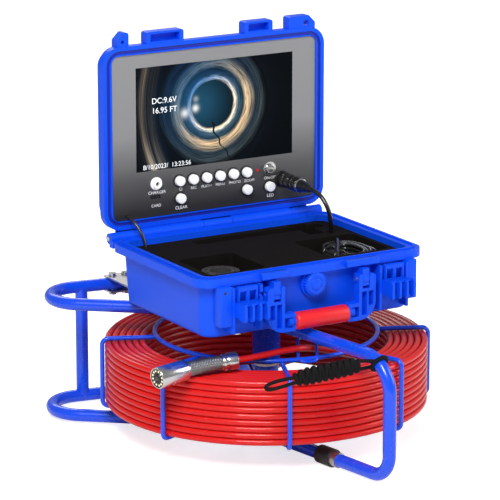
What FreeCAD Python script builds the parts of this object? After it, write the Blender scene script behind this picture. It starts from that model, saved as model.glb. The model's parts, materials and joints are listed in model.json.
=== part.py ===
import FreeCAD, Part
import math
import os

# Pipe inspection camera: a cage reel of push rod turns under a screen case,
# and both stand on a bent tube frame. Millimetres, Z up. The model is laid out
# with the reel's axis at X = Y = 0 and the floor at Z = 0, and moved to its
# own origin, the middle of its footprint, when it is written.

V = FreeCAD.Vector
FIT = 0.05            # radial clearance of a running fit
GAP = 0.3             # clearance between pieces that move past each other

# Tube frame. A plan line is a heading and the line's distance left of the reel's axis.
TUBE_R = 7.0
WRAP_T = 2.5
POST_H = 126.8        # between the floor tube's centre and the top tube's
FRONT_ARM = (-39.7, -21.45)
FRONT_LEG = (-82.1, -34.43)
BACK_ARM = (-9.2, 156.8)
BACK_LEG = (33.3, 109.4)
FRONT_POST_AT = 244.9
BACK_POST_AT = 232.6
ARM_BEND_R = 70.0
POST_BEND_R = 38.0
FOOT_BEND_R = 25.0
HAIRPIN_R = 38.2
STRUT_R = 7.0
STRUT_AT = -160.0
FLOOR_Z = WRAP_T + TUBE_R
TOP_Z = FLOOR_Z + POST_H
WRAP_L = 22.0
WRAP_FLAT = 0.5
CLAMP_T = 1.2

# Hub under the case
HUB_R = 15.4
AXLE_R = 10.0
REEL_TUBE_R = 13.5
HUB_BOTTOM_Z = 75.5
BOSS_TOP_Z = 22.0
WASHER_T = 1.0
WASHER_R = 14.8
PIN_HEAD_R = 4.6

# Cage reel and the wound rod
ROD_R = 3.5
ROD_ROWS = 10
ROD_LAYERS = 6
ROW_PITCH = 7.1
LAYER_PITCH = 7.5
WIRE_R = 2.5
WIRES = 8
WIRE_PHASE = 156.8
WIRE_BEND_R = 7.0
WIRE_Z = 30.5
COIL_OUT_R = 177.2
WIRE_GAP = 0.5
COIL_EDGE_R = 4.0
RING_R = 121.8
RING_SINK = 1.6
EYE_R = 1.6

# Screen case
CASE_X = -10.5
CASE_HALF = 140.0
RIM_FRONT = -119.9
RIM_BACK = 82.4
RIM_H = 9.0
CASE_H = 66.7
INSET_TOP = 9.0
INSET_BOTTOM = 12.0
WALL = 3.0
RIM_IN = 14.0
CORNER_R = 16.0
RAIL_T = 2.0
RAIL_W = 30.0
RAIL_REACH = 8.5      # before and behind the back tube's centre
FOAM_DROP = 6.0
HINGE_Y = 89.9
HINGE_R = 6.0
HINGE_PIN_R = 2.5
LID_BOTTOM = HINGE_Y - RIM_BACK     # above the hinge axis, lid open
LID_DEPTH = 32.0
LID_FLANGE = 10.0
LID_INSET = 8.0
PANEL_SET = 1.5
PANEL_T = 3.0
PANEL_W = 258.0
PANEL_H = 182.0
PANEL_LOW = 10.0      # between the lid's edge and the panel
LID_H = PANEL_H + PANEL_LOW + 10.3
LEDGE = 4.0
SEAL_IN = 4.5
SEAL_W = 4.0
SEAL_T = 1.2
SCREEN_W = 198.7
SCREEN_H = 115.3
GLASS_T = 1.5
BUTTON_R = 5.5
BUTTON_OUT = 6.0
BUTTON_TRAVEL = 1.5
POWER_R = 5.8
PLUG_L = 60.0
PLUG_R = 8.5
SIGNAL_R = 2.5
POWER_CABLE_R = 1.75
LATCH_W = 30.0
HANDLE_HALF = 55.0
HANDLE_R = 20.0
GRIP_R = 9.5
GRIP_HALF = 32.5
KNOB_R = 12.1

nodes = {}


def keep(node, *shapes):
    """One sub-part: its pieces, fused where they touch."""
    solid = shapes[0]
    for other in shapes[1:]:
        solid = solid.fuse(other)
    nodes[node] = solid.removeSplitter()
    return nodes[node]


def box(x0, x1, y0, y1, z0, z1):
    return Part.makeBox(x1 - x0, y1 - y0, z1 - z0, V(x0, y0, z0))


def bar(start, end, radius):
    """A round bar between two points."""
    run = end - start
    return Part.makeCylinder(radius, run.Length, start, run)


def ring(start, end, outer, inner):
    """A sleeve between two points."""
    run = end - start
    longer = Part.makeCylinder(inner, run.Length + 2, start - run.normalize(), run)
    return bar(start, end, outer).cut(longer)


def soft_box(x0, x1, y0, y1, z0, z1, radius, direction=V(0, 0, 1)):
    """A box with the four edges along one direction rounded."""
    solid = box(x0, x1, y0, y1, z0, z1)
    edges = []
    for edge in solid.Edges:
        along = edge.Vertexes[1].Point - edge.Vertexes[0].Point
        if abs(along.normalize().dot(direction)) > 0.99:
            edges.append(edge)
    return solid.makeFillet(radius, edges)


def heading(angle):
    return V(math.cos(math.radians(angle)), math.sin(math.radians(angle)), 0)


def polar(radius, angle, z):
    return heading(angle) * radius + V(0, 0, z)


def on_line(line, along, z=0.0):
    """A point of a plan line, by its distance along the heading."""
    return heading(line[0]) * along + heading(line[0] + 90) * line[1] + V(0, 0, z)


def meet(first, second):
    """Where two plan lines cross."""
    a = heading(first[0] + 90)
    b = heading(second[0] + 90)
    spread = a.x * b.y - a.y * b.x
    x = (first[1] * b.y - second[1] * a.y) / spread
    y = (a.x * second[1] - b.x * first[1]) / spread
    return V(x, y, 0)


def route(points, radii):
    """Straight runs joined by tangent arcs, one radius for each inner point."""
    edges = []
    start = points[0]
    for i in range(1, len(points) - 1):
        back = (points[i - 1] - points[i]).normalize()
        on = (points[i + 1] - points[i]).normalize()
        half_turn = (math.pi - back.getAngle(on)) / 2
        reach = radii[i - 1] * math.tan(half_turn)
        sag = radii[i - 1] * (1 / math.cos(half_turn) - 1)
        first = points[i] + back * reach
        last = points[i] + on * reach
        middle = points[i] + (back + on).normalize() * sag
        if (first - start).Length > 1e-4:
            edges.append(Part.LineSegment(start, first).toShape())
        edges.append(Part.Arc(first, middle, last).toShape())
        start = last
    if (points[-1] - start).Length > 1e-4:
        edges.append(Part.LineSegment(start, points[-1]).toShape())
    return Part.Wire(edges)


def sweep(path, radius):
    """A round bar along a path of tangent edges."""
    first = path.Edges[0]
    tangent = first.tangentAt(first.FirstParameter)
    circle = Part.Wire([Part.makeCircle(radius, first.valueAt(first.FirstParameter), tangent)])
    return path.makePipeShell([circle], True, False)


def bent_bar(points, radius, bend):
    return sweep(route(points, [bend] * (len(points) - 2)), radius)


def cord(name, points, radius):
    """A free cord: every arc as large as its two runs allow."""
    radii = []
    for i in range(1, len(points) - 1):
        back = points[i - 1] - points[i]
        on = points[i + 1] - points[i]
        half_turn = (math.pi - back.getAngle(on)) / 2
        radii.append(0.45 * min(back.Length, on.Length) / math.tan(half_turn))
    path = route(points, radii)
    solid = sweep(path, radius)
    section = math.pi * radius ** 2
    print(name, "length", round(path.Length, 1), "smallest radius", round(min(radii), 1),
          "volume ratio", round(solid.Volume / (section * path.Length), 4))
    return keep(name, solid)


# ---------------------------------------------------------------- tube frame

def frame_level(z, level):
    """The front and back arms of one level, with the hairpin that joins them."""
    centre = meet((FRONT_ARM[0], FRONT_ARM[1] + HAIRPIN_R), (BACK_ARM[0], BACK_ARM[1] - HAIRPIN_R))
    height = V(0, 0, z)
    front = centre - heading(FRONT_ARM[0] + 90) * HAIRPIN_R + height
    back = centre + heading(BACK_ARM[0] + 90) * HAIRPIN_R + height
    tip = centre - heading((FRONT_ARM[0] + BACK_ARM[0]) / 2) * HAIRPIN_R + height
    keep("frame_hairpin_" + level, sweep(Part.Wire([Part.Arc(front, tip, back).toShape()]), TUBE_R))
    end_bend = POST_BEND_R if level == "top" else FOOT_BEND_R
    front_end = on_line(FRONT_LEG, FRONT_POST_AT - end_bend, z)
    back_end = on_line(BACK_LEG, BACK_POST_AT - end_bend, z)
    keep("frame_front_" + level,
         bent_bar([front, meet(FRONT_ARM, FRONT_LEG) + height, front_end], TUBE_R, ARM_BEND_R))
    keep("frame_back_" + level,
         bent_bar([back, meet(BACK_ARM, BACK_LEG) + height, back_end], TUBE_R, ARM_BEND_R))


def frame_post(name, line, at):
    """A post with the bends that lead into the floor tube and the top tube."""
    points = [on_line(line, at - POST_BEND_R, TOP_Z), on_line(line, at, TOP_Z),
              on_line(line, at, FLOOR_Z), on_line(line, at - FOOT_BEND_R, FLOOR_Z)]
    keep(name, sweep(route(points, [POST_BEND_R, FOOT_BEND_R]), TUBE_R))


frame_level(TOP_Z, "top")
frame_level(FLOOR_Z, "floor")
frame_post("frame_post_front", FRONT_LEG, FRONT_POST_AT)
frame_post("frame_post_back", BACK_LEG, BACK_POST_AT)
strut = bar(on_line(BACK_ARM, STRUT_AT, FLOOR_Z), on_line(BACK_ARM, STRUT_AT, TOP_Z), STRUT_R)
for level in ("top", "floor"):
    strut = strut.cut(nodes["frame_back_" + level]).cut(nodes["frame_hairpin_" + level])
keep("frame_strut", strut)


def wrap(line, at):
    """A rubber sleeve on a floor tube, flat underneath."""
    start = on_line(line, at - WRAP_L / 2, FLOOR_Z)
    end = on_line(line, at + WRAP_L / 2, FLOOR_Z)
    sleeve = ring(start, end, TUBE_R + WRAP_T + WRAP_FLAT, TUBE_R)
    return sleeve.cut(box(-400, 400, -400, 400, -50, 0))


FRONT_WRAP_AT = 146.0
FRONT_ARM_WRAP_AT = -95.0
BACK_ARM_WRAP_AT = -75.0
wraps = [wrap(FRONT_LEG, FRONT_WRAP_AT), wrap(FRONT_ARM, FRONT_ARM_WRAP_AT),
         wrap(BACK_ARM, BACK_ARM_WRAP_AT),
         wrap(BACK_LEG, BACK_POST_AT - FOOT_BEND_R - WRAP_L / 2 - 1)]
nodes["foot_wraps"] = Part.makeCompound(wraps)
collar_at = FRONT_WRAP_AT + WRAP_L / 2
collar = ring(on_line(FRONT_LEG, collar_at, FLOOR_Z), on_line(FRONT_LEG, collar_at + 9, FLOOR_Z),
              TUBE_R + CLAMP_T, TUBE_R)

# Hub: a boss on the floor tube, a column on the top tube, and the axle between
bend_centre = meet((FRONT_ARM[0], FRONT_ARM[1] - ARM_BEND_R), (FRONT_LEG[0], FRONT_LEG[1] - ARM_BEND_R))
to_tube = V(bend_centre).normalize()
tube_from_axis = bend_centre.Length - ARM_BEND_R
COLUMN_TOP_Z = TOP_Z + TUBE_R


def hub_part(name, bottom, top, stub_z, tube):
    """A bored boss with the welded stub that carries it on the frame tube."""
    body = Part.makeCylinder(HUB_R, top - bottom, V(0, 0, bottom))
    stub = bar(V(0, 0, stub_z), to_tube * tube_from_axis + V(0, 0, stub_z), TUBE_R)
    return keep(name, body.fuse(stub).cut(nodes[tube]))


AXLE_IN = 45.0
axle_top = HUB_BOTTOM_Z + AXLE_IN
axle = Part.makeCylinder(AXLE_R, axle_top - WRAP_T, V(0, 0, WRAP_T))
column = hub_part("hub_column", HUB_BOTTOM_Z, COLUMN_TOP_Z, TOP_Z, "frame_front_top")
boss = hub_part("hub_axle", WRAP_T, BOSS_TOP_Z, FLOOR_Z, "frame_front_floor")
keep("hub_axle", boss, axle)
keep("hub_column", column.cut(axle))
lower_washer = Part.makeCylinder(WASHER_R, WASHER_T, V(0, 0, BOSS_TOP_Z))
reel_tube_bottom = BOSS_TOP_Z + WASHER_T + GAP
reel_tube_top = HUB_BOTTOM_Z - WASHER_T * 3 - GAP
upper_washer = Part.makeCylinder(WASHER_R, WASHER_T * 3, V(0, 0, HUB_BOTTOM_Z - WASHER_T * 3))
nodes["thrust_washers"] = Part.makeCompound([lower_washer.cut(axle), upper_washer.cut(axle)])

# ---------------------------------------------------------------- cage reel

coil_bottom = WIRE_Z + WIRE_R
coil_top = coil_bottom + 2 * ROD_R + (ROD_ROWS - 1) * ROW_PITCH
wire_top_z = coil_top + WIRE_GAP + WIRE_R
wire_post_r = COIL_OUT_R + WIRE_GAP + WIRE_R
coil_in_r = COIL_OUT_R - 2 * ROD_R - (ROD_LAYERS - 1) * LAYER_PITCH + 0.3
ring_z = wire_top_z + 2 * WIRE_R - RING_SINK

tube_outer = Part.makeCylinder(REEL_TUBE_R, 200)
cage = []
for k in range(WIRES):
    angle = WIRE_PHASE + 360.0 / WIRES * k
    path = [polar(REEL_TUBE_R - 1.5, angle, WIRE_Z), polar(wire_post_r, angle, WIRE_Z),
            polar(wire_post_r, angle, wire_top_z), polar(RING_R - WIRE_R, angle, wire_top_z)]
    cage.append(bent_bar(path, WIRE_R, WIRE_BEND_R).cut(tube_outer))
nodes["reel_cage"] = Part.makeCompound(cage)
hoop = Part.makeTorus(RING_R, WIRE_R, V(0, 0, ring_z))
for wire in cage:
    hoop = hoop.cut(wire)
keep("reel_hoop", hoop)

# The rod leaves the reel's tube at a gland, between two floor wires
lead_z = coil_bottom - ROD_R - GAP
LEAD = [V(14.5, 14.5, lead_z), V(27, 30, lead_z), V(44, 57.5, lead_z), V(61, 83, lead_z),
        V(76.3, 108.0, lead_z), V(94.5, 118.9, lead_z), V(115.4, 119.7, lead_z + 1.2),
        V(134.2, 110.5, lead_z + 3.2), V(144.0, 97.8, lead_z + 5.2)]
gland_dir = (LEAD[1] - LEAD[0]).normalize()
gland = bar(LEAD[0] - gland_dir * 9, LEAD[0] + gland_dir * 3, ROD_R + 1.2)
sleeve = Part.makeCylinder(REEL_TUBE_R, reel_tube_top - reel_tube_bottom, V(0, 0, reel_tube_bottom))
sleeve = sleeve.fuse(gland)
sleeve = sleeve.cut(Part.makeCylinder(AXLE_R + FIT, 200))
sleeve = sleeve.cut(bar(LEAD[0], LEAD[0] + gland_dir * 6, ROD_R))
for wire in cage:
    sleeve = sleeve.cut(wire)
keep("reel_tube", sleeve)

# Rod: the lead under the coil, the wound coil, and the free tail to the camera head
cord("rod_lead", LEAD, ROD_R)
coil = Part.makeCylinder(COIL_OUT_R, coil_top - coil_bottom, V(0, 0, coil_bottom))
coil = coil.makeFillet(COIL_EDGE_R, [e for e in coil.Edges if e.BoundBox.DiagonalLength > 2 * COIL_OUT_R])
keep("rod_coil", coil.cut(Part.makeCylinder(coil_in_r, 200)))

HEAD_REAR = V(-97.4, -102.3, 116.0)
HEAD_CAP = V(-156.8, -94.7, 112.2)
HEAD_FACE = V(-192.9, -100.5, 110.0)
TAIL = [V(67, 116, 37.2), V(97.4, 84.6, 40.5), V(117.2, 40.4, 48.5), V(116, -4, 60), V(97, -37, 73),
        V(71.3, -64.2, 87), V(36, -85, 101), V(2, -99.5, 113.5), V(-26.4, -113.1, 121.8),
        V(-49.7, -111.0, 120.9), V(-72.6, -107.7, 118.0), HEAD_REAR]
cord("rod_tail", TAIL, ROD_R)

# Guide eye: an oval wire loop that leans inwards from the hoop
EYE_FOOT = V(-33.0, -121.0, 108.0)
EYE_WIDE = V(20.6, -4.4, 0)
EYE_LEAN = V(16.9, 30.4, 17.9)
corners = [EYE_FOOT + EYE_WIDE * 0.5, EYE_FOOT + EYE_WIDE, EYE_FOOT + EYE_WIDE + EYE_LEAN,
           EYE_FOOT + EYE_LEAN, EYE_FOOT, EYE_FOOT + EYE_WIDE * 0.5]
eye = sweep(route(corners, [7.0, 9.0, 9.0, 7.0]), EYE_R)
keep("reel_hoop", nodes["reel_hoop"], eye)

# ---------------------------------------------------------------- camera head

COUPLING_R = 9.5
SPRING_R = 7.8
CAP_R = 11.5
COUPLING_L = 16.9
along = (HEAD_REAR - TAIL[-2]).normalize()
HEAD_JOINT = HEAD_REAR + along * COUPLING_L
coupling = bar(HEAD_REAR, HEAD_JOINT, COUPLING_R)
coupling = coupling.fuse(bar(HEAD_JOINT, HEAD_JOINT + along * 4, SPRING_R))
keep("head_coupling", coupling)
spring = bent_bar([HEAD_JOINT + along * 4, HEAD_JOINT + along * 14 + V(0, 0, -0.4), HEAD_CAP], SPRING_R, 90.0)
keep("head_spring", spring.cut(coupling))
face_dir = (HEAD_FACE - HEAD_CAP).normalize()
WINDOW_T = 1.5
cap = bar(HEAD_CAP, HEAD_FACE, CAP_R)
window = bar(HEAD_FACE - face_dir * WINDOW_T, HEAD_FACE, CAP_R - 1.6)
lens = bar(HEAD_FACE - face_dir * WINDOW_T * 2, HEAD_FACE + face_dir * 0.3, 3.2)
neck = bar(HEAD_CAP - face_dir * 3, HEAD_CAP, SPRING_R + 1.2)
keep("head_body", cap.fuse(neck).cut(window).cut(lens).cut(nodes["head_spring"]))
keep("head_window", window.fuse(lens))

# ---------------------------------------------------------------- case base

case_bottom = TOP_Z + TUBE_R + RAIL_T
case_top = case_bottom + CASE_H
left = CASE_X - CASE_HALF
right = CASE_X + CASE_HALF


def rounded_frame(inset, radius, z):
    """The case's plan outline, drawn in by an inset."""
    x0, x1 = left + inset, right - inset
    y0, y1 = RIM_FRONT + inset, RIM_BACK - inset
    plate = soft_box(x0, x1, y0, y1, z - 1, z, radius)
    faces = [face for face in plate.Faces if abs(face.CenterOfMass.z - z) < 1e-6]
    return faces[0].OuterWire


def tapered(inset_low, inset_high, z_low, z_high, radius):
    low = rounded_frame(inset_low, radius, z_low)
    high = rounded_frame(inset_high, radius, z_high)
    return Part.makeLoft([low, high], True, True)


rim_bottom = case_top - RIM_H
shell = tapered(INSET_BOTTOM, INSET_TOP, case_bottom, rim_bottom, CORNER_R)
low_edges = [e for e in shell.Edges if e.BoundBox.ZMax < case_bottom + 0.1]
shell = shell.makeFillet(5.0, low_edges)
rim = soft_box(left, right, RIM_FRONT, RIM_BACK, rim_bottom, case_top, CORNER_R + 4)
body = shell.fuse(rim)
floor_z = case_bottom + WALL
cavity = tapered(INSET_BOTTOM + WALL, INSET_TOP + WALL, floor_z, case_top - RIM_H, CORNER_R - WALL)
mouth = soft_box(left + RIM_IN, right - RIM_IN, RIM_FRONT + RIM_IN, RIM_BACK - RIM_IN,
                 case_top - RIM_H - 1, case_top + 5, CORNER_R - 6)
body = body.cut(cavity).cut(mouth)

# The rim's tongue meets the seal in the lid
TONGUE_H = 1.9
tongue_in = SEAL_IN + 1
tongue_out = SEAL_IN + SEAL_W - 1
tongue = soft_box(left + tongue_in, right - tongue_in, RIM_FRONT + tongue_in, RIM_BACK - tongue_in,
                  case_top - 1, case_top + TONGUE_H, CORNER_R - 1)
body = body.fuse(tongue.cut(soft_box(left + tongue_out, right - tongue_out, RIM_FRONT + tongue_out,
                                     RIM_BACK - tongue_out, case_top - 2, case_top + 5, CORNER_R - 3)))

# Latch bays: two ribs each, on the front wall
body_front = RIM_FRONT + INSET_TOP
LATCH_X = (left + 51.5, right - 46.5)
BAY_OUT = 16.0
RIB_T = 3.0
LATCH_PIN_R = 1.6
latch_pin_y = RIM_FRONT + 0.4
latch_pin_z = case_bottom + 32.7
ribs = []
for x in LATCH_X:
    for side in (-1, 1):
        inner = x + side * (LATCH_W / 2 + GAP)
        outer = inner + side * RIB_T
        low = min(inner, outer)
        high = max(inner, outer)
        ribs.append(box(low, high, body_front - BAY_OUT, body_front + 2,
                        case_bottom + 8, rim_bottom - 1))
    ribs.append(box(x - LATCH_W / 2 - RIB_T, x + LATCH_W / 2 + RIB_T, body_front - 2, body_front + 2,
                    case_bottom + 8, rim_bottom))
handle_y = RIM_FRONT - 6
handle_z = case_bottom + 46
HANDLE_PIN_R = 2.5
for side in (-1, 1):
    at = CASE_X + side * HANDLE_HALF
    lug = box(at - 4, at + 4, handle_y - 5, body_front + 2, handle_z - 7, rim_bottom)
    ribs.append(lug)
knob_z = case_bottom + 45.3
ribs.append(Part.makeCylinder(KNOB_R + 3, 6, V(CASE_X, body_front + 2, knob_z), V(0, -1, 0)))
for rib in ribs:
    body = body.fuse(rib)
knob_seat = Part.makeCylinder(KNOB_R + GAP, 4, V(CASE_X, body_front + 1, knob_z), V(0, -1, 0))
knob_seat.translate(V(0, -3, 0))
body = body.cut(knob_seat)
body = body.cut(Part.makeCylinder(4.0 + FIT, 30, V(CASE_X, body_front - 8, knob_z), V(0, 1, 0)))

# Hinge knuckles: the base has three, the lid two
hinge_z = case_top + 0.2
END_KNUCKLE = CASE_HALF - 44
KNUCKLES = ((-END_KNUCKLE - 39, -END_KNUCKLE), (-18, 18), (END_KNUCKLE, END_KNUCKLE + 39))
LID_KNUCKLES = ((-END_KNUCKLE + 0.6, -18.6), (18.6, END_KNUCKLE - 0.6))


def knuckle(span, web):
    x0 = CASE_X + span[0]
    x1 = CASE_X + span[1]
    barrel = bar(V(x0, HINGE_Y, hinge_z), V(x1, HINGE_Y, hinge_z), HINGE_R)
    return barrel.fuse(box(x0, x1, web[0], web[1], web[2], web[3]))


pin_hole = bar(V(left, HINGE_Y, hinge_z), V(right, HINGE_Y, hinge_z), HINGE_PIN_R + FIT)
for span in KNUCKLES:
    body = body.fuse(knuckle(span, (RIM_BACK - 2, HINGE_Y - 1, rim_bottom, hinge_z - 1.5)))
body = body.cut(pin_hole)
lever_hole = bar(V(left, latch_pin_y, latch_pin_z), V(right, latch_pin_y, latch_pin_z), LATCH_PIN_R)
bay_zone = box(left, right, latch_pin_y - 3, latch_pin_y + 3, latch_pin_z - 3, latch_pin_z + 3)
body = body.cut(lever_hole.common(bay_zone))
for side in (-1, 1):
    at = CASE_X + side * HANDLE_HALF
    body = body.cut(bar(V(at - 20, handle_y, handle_z), V(at + 20, handle_y, handle_z), HANDLE_PIN_R))

# Rails of flat steel carry the case on the tubes
RAIL_A = (left + 46.7, left + 46.7 + RAIL_W)
RAIL_B = (left + 118.5, left + 118.5 + RAIL_W)
back_y = lambda x: (BACK_ARM[1] - x * heading(BACK_ARM[0] + 90).x) / heading(BACK_ARM[0] + 90).y
rail_bottom = TOP_Z + TUBE_R
rails = []
bolts = []
for span in (RAIL_A, RAIL_B):
    middle = (span[0] + span[1]) / 2
    rear = back_y(middle)
    rails.append(box(span[0], span[1], RIM_FRONT + 25, rear + RAIL_REACH, rail_bottom, rail_bottom + RAIL_T))
    rails.append(box(span[0], span[1], rear - RAIL_REACH, rear + RAIL_REACH, TOP_Z - TUBE_R - RAIL_T, TOP_Z - TUBE_R))
    for offset in (-RAIL_W / 4, RAIL_W / 4):
        x = middle + offset
        y = back_y(x)
        bolts.append((V(x, y, TOP_Z - TUBE_R - RAIL_T - 3.2), V(x, y, rail_bottom + RAIL_T + 3.2), True))
RAIL_A_MID = (RAIL_A[0] + RAIL_A[1]) / 2
BOLT_B_X = RAIL_B[1] - 5.5
CASE_BOLTS = ((RAIL_A_MID, RIM_FRONT + 31.9), (RAIL_A_MID, RIM_FRONT + 134.9),
              (BOLT_B_X, RIM_FRONT + 31.9), (BOLT_B_X, RIM_FRONT + 174.9))
for x, y in CASE_BOLTS:
    bolts.append((V(x, y, rail_bottom - 3.0), V(x, y, floor_z), False))
BOLT_R = 2.5
HEAD_R = 4.4
bolt_solids = []
for low, high, through in bolts:
    bolt_solids.append(bar(low, high, BOLT_R))
    bolt_solids.append(bar(low, low + V(0, 0, 3.0 if not through else 3.2), HEAD_R))
    if through:
        bolt_solids.append(bar(high - V(0, 0, 3.2), high, HEAD_R))
fasteners = bolt_solids[0]
for piece in bolt_solids[1:]:
    fasteners = fasteners.fuse(piece)
bolt_dir = heading(-118)
fasteners = fasteners.fuse(bar(bolt_dir * (HUB_R - 3) + V(0, 0, 112), bolt_dir * (HUB_R + 3.2) + V(0, 0, 112),
                               PIN_HEAD_R))
fasteners = keep("frame_fasteners", fasteners)
plates = Part.makeCompound([rail.cut(fasteners) for rail in rails] + [collar])
nodes["clamp_plates"] = plates
for name in ("hub_column", "frame_back_top"):
    nodes[name] = nodes[name].cut(fasteners)
body = body.cut(fasteners)
case_base = keep("case_base", body)

# Foam insert with its pockets
foam_top = case_top - FOAM_DROP
foam_x0 = left + RIM_IN + 2
foam_x1 = right - RIM_IN - 2
foam_y0 = RIM_FRONT + RIM_IN + 2
foam_y1 = RIM_BACK - RIM_IN - 2
foam = soft_box(foam_x0, foam_x1, foam_y0, foam_y1, floor_z + GAP, foam_top, CORNER_R - WALL - 2)
RING_AT = V(left + 68.0, RIM_FRONT + 77.2, 0)
RING_POCKET = (left + 34.0, left + 101.5, RIM_FRONT + 37.9, RIM_FRONT + 110.9)
HANK = (right - 98.5, right - 21.0, RIM_FRONT + 40.0, RIM_FRONT + 117.0)
PLUG_X = CASE_X + 86.0
PLUG_POCKET = (PLUG_X - 9.8, PLUG_X + 9.8, HINGE_Y - 74.9, HINGE_Y - 25.9)
SLOT = (left + 88.0, right - 29.5, RIM_BACK - 43.4, RIM_BACK - 26.4)
foam = foam.cut(soft_box(RING_POCKET[0], RING_POCKET[1], RING_POCKET[2], RING_POCKET[3],
                         foam_top - 22, foam_top + 9, 6))
foam = foam.cut(soft_box(HANK[0], HANK[1], HANK[2], HANK[3], foam_top - 30, foam_top + 9, 8))
foam = foam.cut(soft_box(PLUG_POCKET[0], PLUG_POCKET[1], PLUG_POCKET[2], PLUG_POCKET[3],
                         floor_z + 1.5, foam_top + 9, 4))
foam = foam.cut(soft_box(SLOT[0], SLOT[1], SLOT[2], SLOT[3], foam_top - 34, foam_top + 9, 4))

# ---------------------------------------------------------------- lid

lid_low = hinge_z + LID_BOTTOM
lid_high = lid_low + LID_H
flange_back = HINGE_Y + LID_FLANGE
lid_back = HINGE_Y + LID_DEPTH
flange = soft_box(left, right, HINGE_Y, flange_back, lid_low, lid_high, CORNER_R + 4, V(0, 1, 0))
inset = LID_INSET
dome = soft_box(left + inset, right - inset, HINGE_Y + 2, lid_back, lid_low + inset, lid_high - inset,
                CORNER_R, V(0, 1, 0))
back_edges = [e for e in dome.Edges if e.BoundBox.YMin > lid_back - 0.1]
dome = dome.makeFillet(6.0, back_edges)
lid = flange.fuse(dome)
panel_x0 = CASE_X - PANEL_W / 2
panel_x1 = CASE_X + PANEL_W / 2
panel_z0 = lid_low + PANEL_LOW
panel_z1 = panel_z0 + PANEL_H
panel_y = HINGE_Y + PANEL_SET
ledge_y = panel_y + PANEL_T
lid = lid.cut(soft_box(panel_x0 - 0.3, panel_x1 + 0.3, HINGE_Y - 5, ledge_y, panel_z0 - 0.3, panel_z1 + 0.3,
                       8, V(0, 1, 0)))
hollow_in = inset + WALL + LEDGE
lid = lid.cut(soft_box(left + hollow_in, right - hollow_in, HINGE_Y - 5, lid_back - WALL,
                       lid_low + hollow_in, lid_high - hollow_in, CORNER_R - 9, V(0, 1, 0)))
for span in LID_KNUCKLES:
    lid = lid.fuse(knuckle(span, (HINGE_Y + 0.6, HINGE_Y + HINGE_R, hinge_z + 1, lid_low + 0.4)))
lid = lid.fuse(box(left + 18, right - 18, HINGE_Y + HINGE_R + 0.8, flange_back, hinge_z + 1, lid_low + 2))
lid = lid.cut(pin_hole)
END_EAR = CASE_HALF - 12
EARS = ((-END_EAR + 6, -END_EAR + 20, 15.0), (-END_EAR + 42, -END_EAR + 88, 13.0),
        (END_EAR - 91, END_EAR - 55, 13.0), (END_EAR - 34, END_EAR, 13.5))
for x0, x1, rise in EARS:
    lid = lid.fuse(soft_box(CASE_X + x0, CASE_X + x1, HINGE_Y + 0.5, HINGE_Y + 13, lid_high - 6,
                            lid_high + rise, 3, V(0, 1, 0)))
for x, top, run in ((-END_EAR + 6, 15.0, 8.0), (END_EAR, 13.5, -8.0)):
    tip = V(CASE_X + x, HINGE_Y - 5, lid_high + top)
    corner = Part.Face(Part.makePolygon([tip, tip + V(run, 0, 0), tip - V(0, 0, 8.0), tip]))
    lid = lid.cut(corner.extrude(V(0, 30, 0)))
for x, hole in ((-END_EAR + 12.5, 2.0), (END_EAR - 11.5, 3.6)):
    lid = lid.cut(bar(V(CASE_X + x, HINGE_Y - 5, lid_high + 5), V(CASE_X + x, HINGE_Y + 20, lid_high + 5), hole))
for x0, x1, rise in EARS[1:3]:
    lid = lid.cut(box(CASE_X + x0 + 5, CASE_X + x1 - 5, HINGE_Y - 1, HINGE_Y + 9.5, lid_high + 2, lid_high + 10.5))
seal_out = soft_box(left + SEAL_IN, right - SEAL_IN, HINGE_Y - 5, HINGE_Y + 3, lid_low + SEAL_IN,
                    lid_high - SEAL_IN, CORNER_R, V(0, 1, 0))
seal_core = SEAL_IN + SEAL_W
seal = seal_out.cut(soft_box(left + seal_core, right - seal_core, HINGE_Y - 6, HINGE_Y + 5, lid_low + seal_core,
                             lid_high - seal_core, CORNER_R - SEAL_W, V(0, 1, 0)))
case_lid = keep("case_lid", lid.cut(seal))
keep("case_gasket", seal.common(box(-300, 300, HINGE_Y + 3 - SEAL_T, HINGE_Y + 9, 0, 600)))

# Control panel with the screen let in
panel = soft_box(panel_x0, panel_x1, panel_y, ledge_y, panel_z0, panel_z1, 8, V(0, 1, 0))
SCREEN_X = CASE_X + 0.0
screen_z0 = panel_z0 + 51.6
glass = box(SCREEN_X - SCREEN_W / 2, SCREEN_X + SCREEN_W / 2, panel_y, panel_y + GLASS_T,
            screen_z0, screen_z0 + SCREEN_H)
panel = panel.cut(glass)
keep("screen_glass", glass)

BUTTONS = {}
ROW_HIGH = panel_z0 + 36.8
ROW_LOW = panel_z0 + 17.0
for i in range(6):
    BUTTONS["button_upper_%d" % (i + 1)] = (-46.4 + 17.1 * i, ROW_HIGH)
for i, x in enumerate((-45.3, 39.5, 69.0)):
    BUTTONS["button_lower_%d" % (i + 1)] = (x, ROW_LOW)
out = V(0, -1, 0)
collars = []
for name, (x, z) in BUTTONS.items():
    at = V(CASE_X + x, panel_y, z)
    stem = bar(at + out * BUTTON_OUT, at - out * (PANEL_T + GAP), BUTTON_R)
    flange_disc = bar(at - out * (PANEL_T + GAP), at - out * (PANEL_T + GAP + 1), BUTTON_R + 0.8)
    keep(name, stem.fuse(flange_disc))
    panel = panel.cut(bar(at + out, at - out * (PANEL_T + 1), BUTTON_R + 0.2))
    collars.append(ring(at + out * 1.2, at, BUTTON_R + 1.6, BUTTON_R + 0.2))
power_at = V(CASE_X + 69.0, panel_y, ROW_HIGH)
keep("power_bezel", ring(power_at + out * 2.0, power_at, POWER_R + 2.4, POWER_R + 0.2))
stem = bar(power_at + out * 4.5, power_at - out * (PANEL_T + GAP), POWER_R)
keep("power_button", stem.fuse(bar(power_at - out * (PANEL_T + GAP), power_at - out * (PANEL_T + GAP + 1),
                                   POWER_R + 1.2)))
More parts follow.
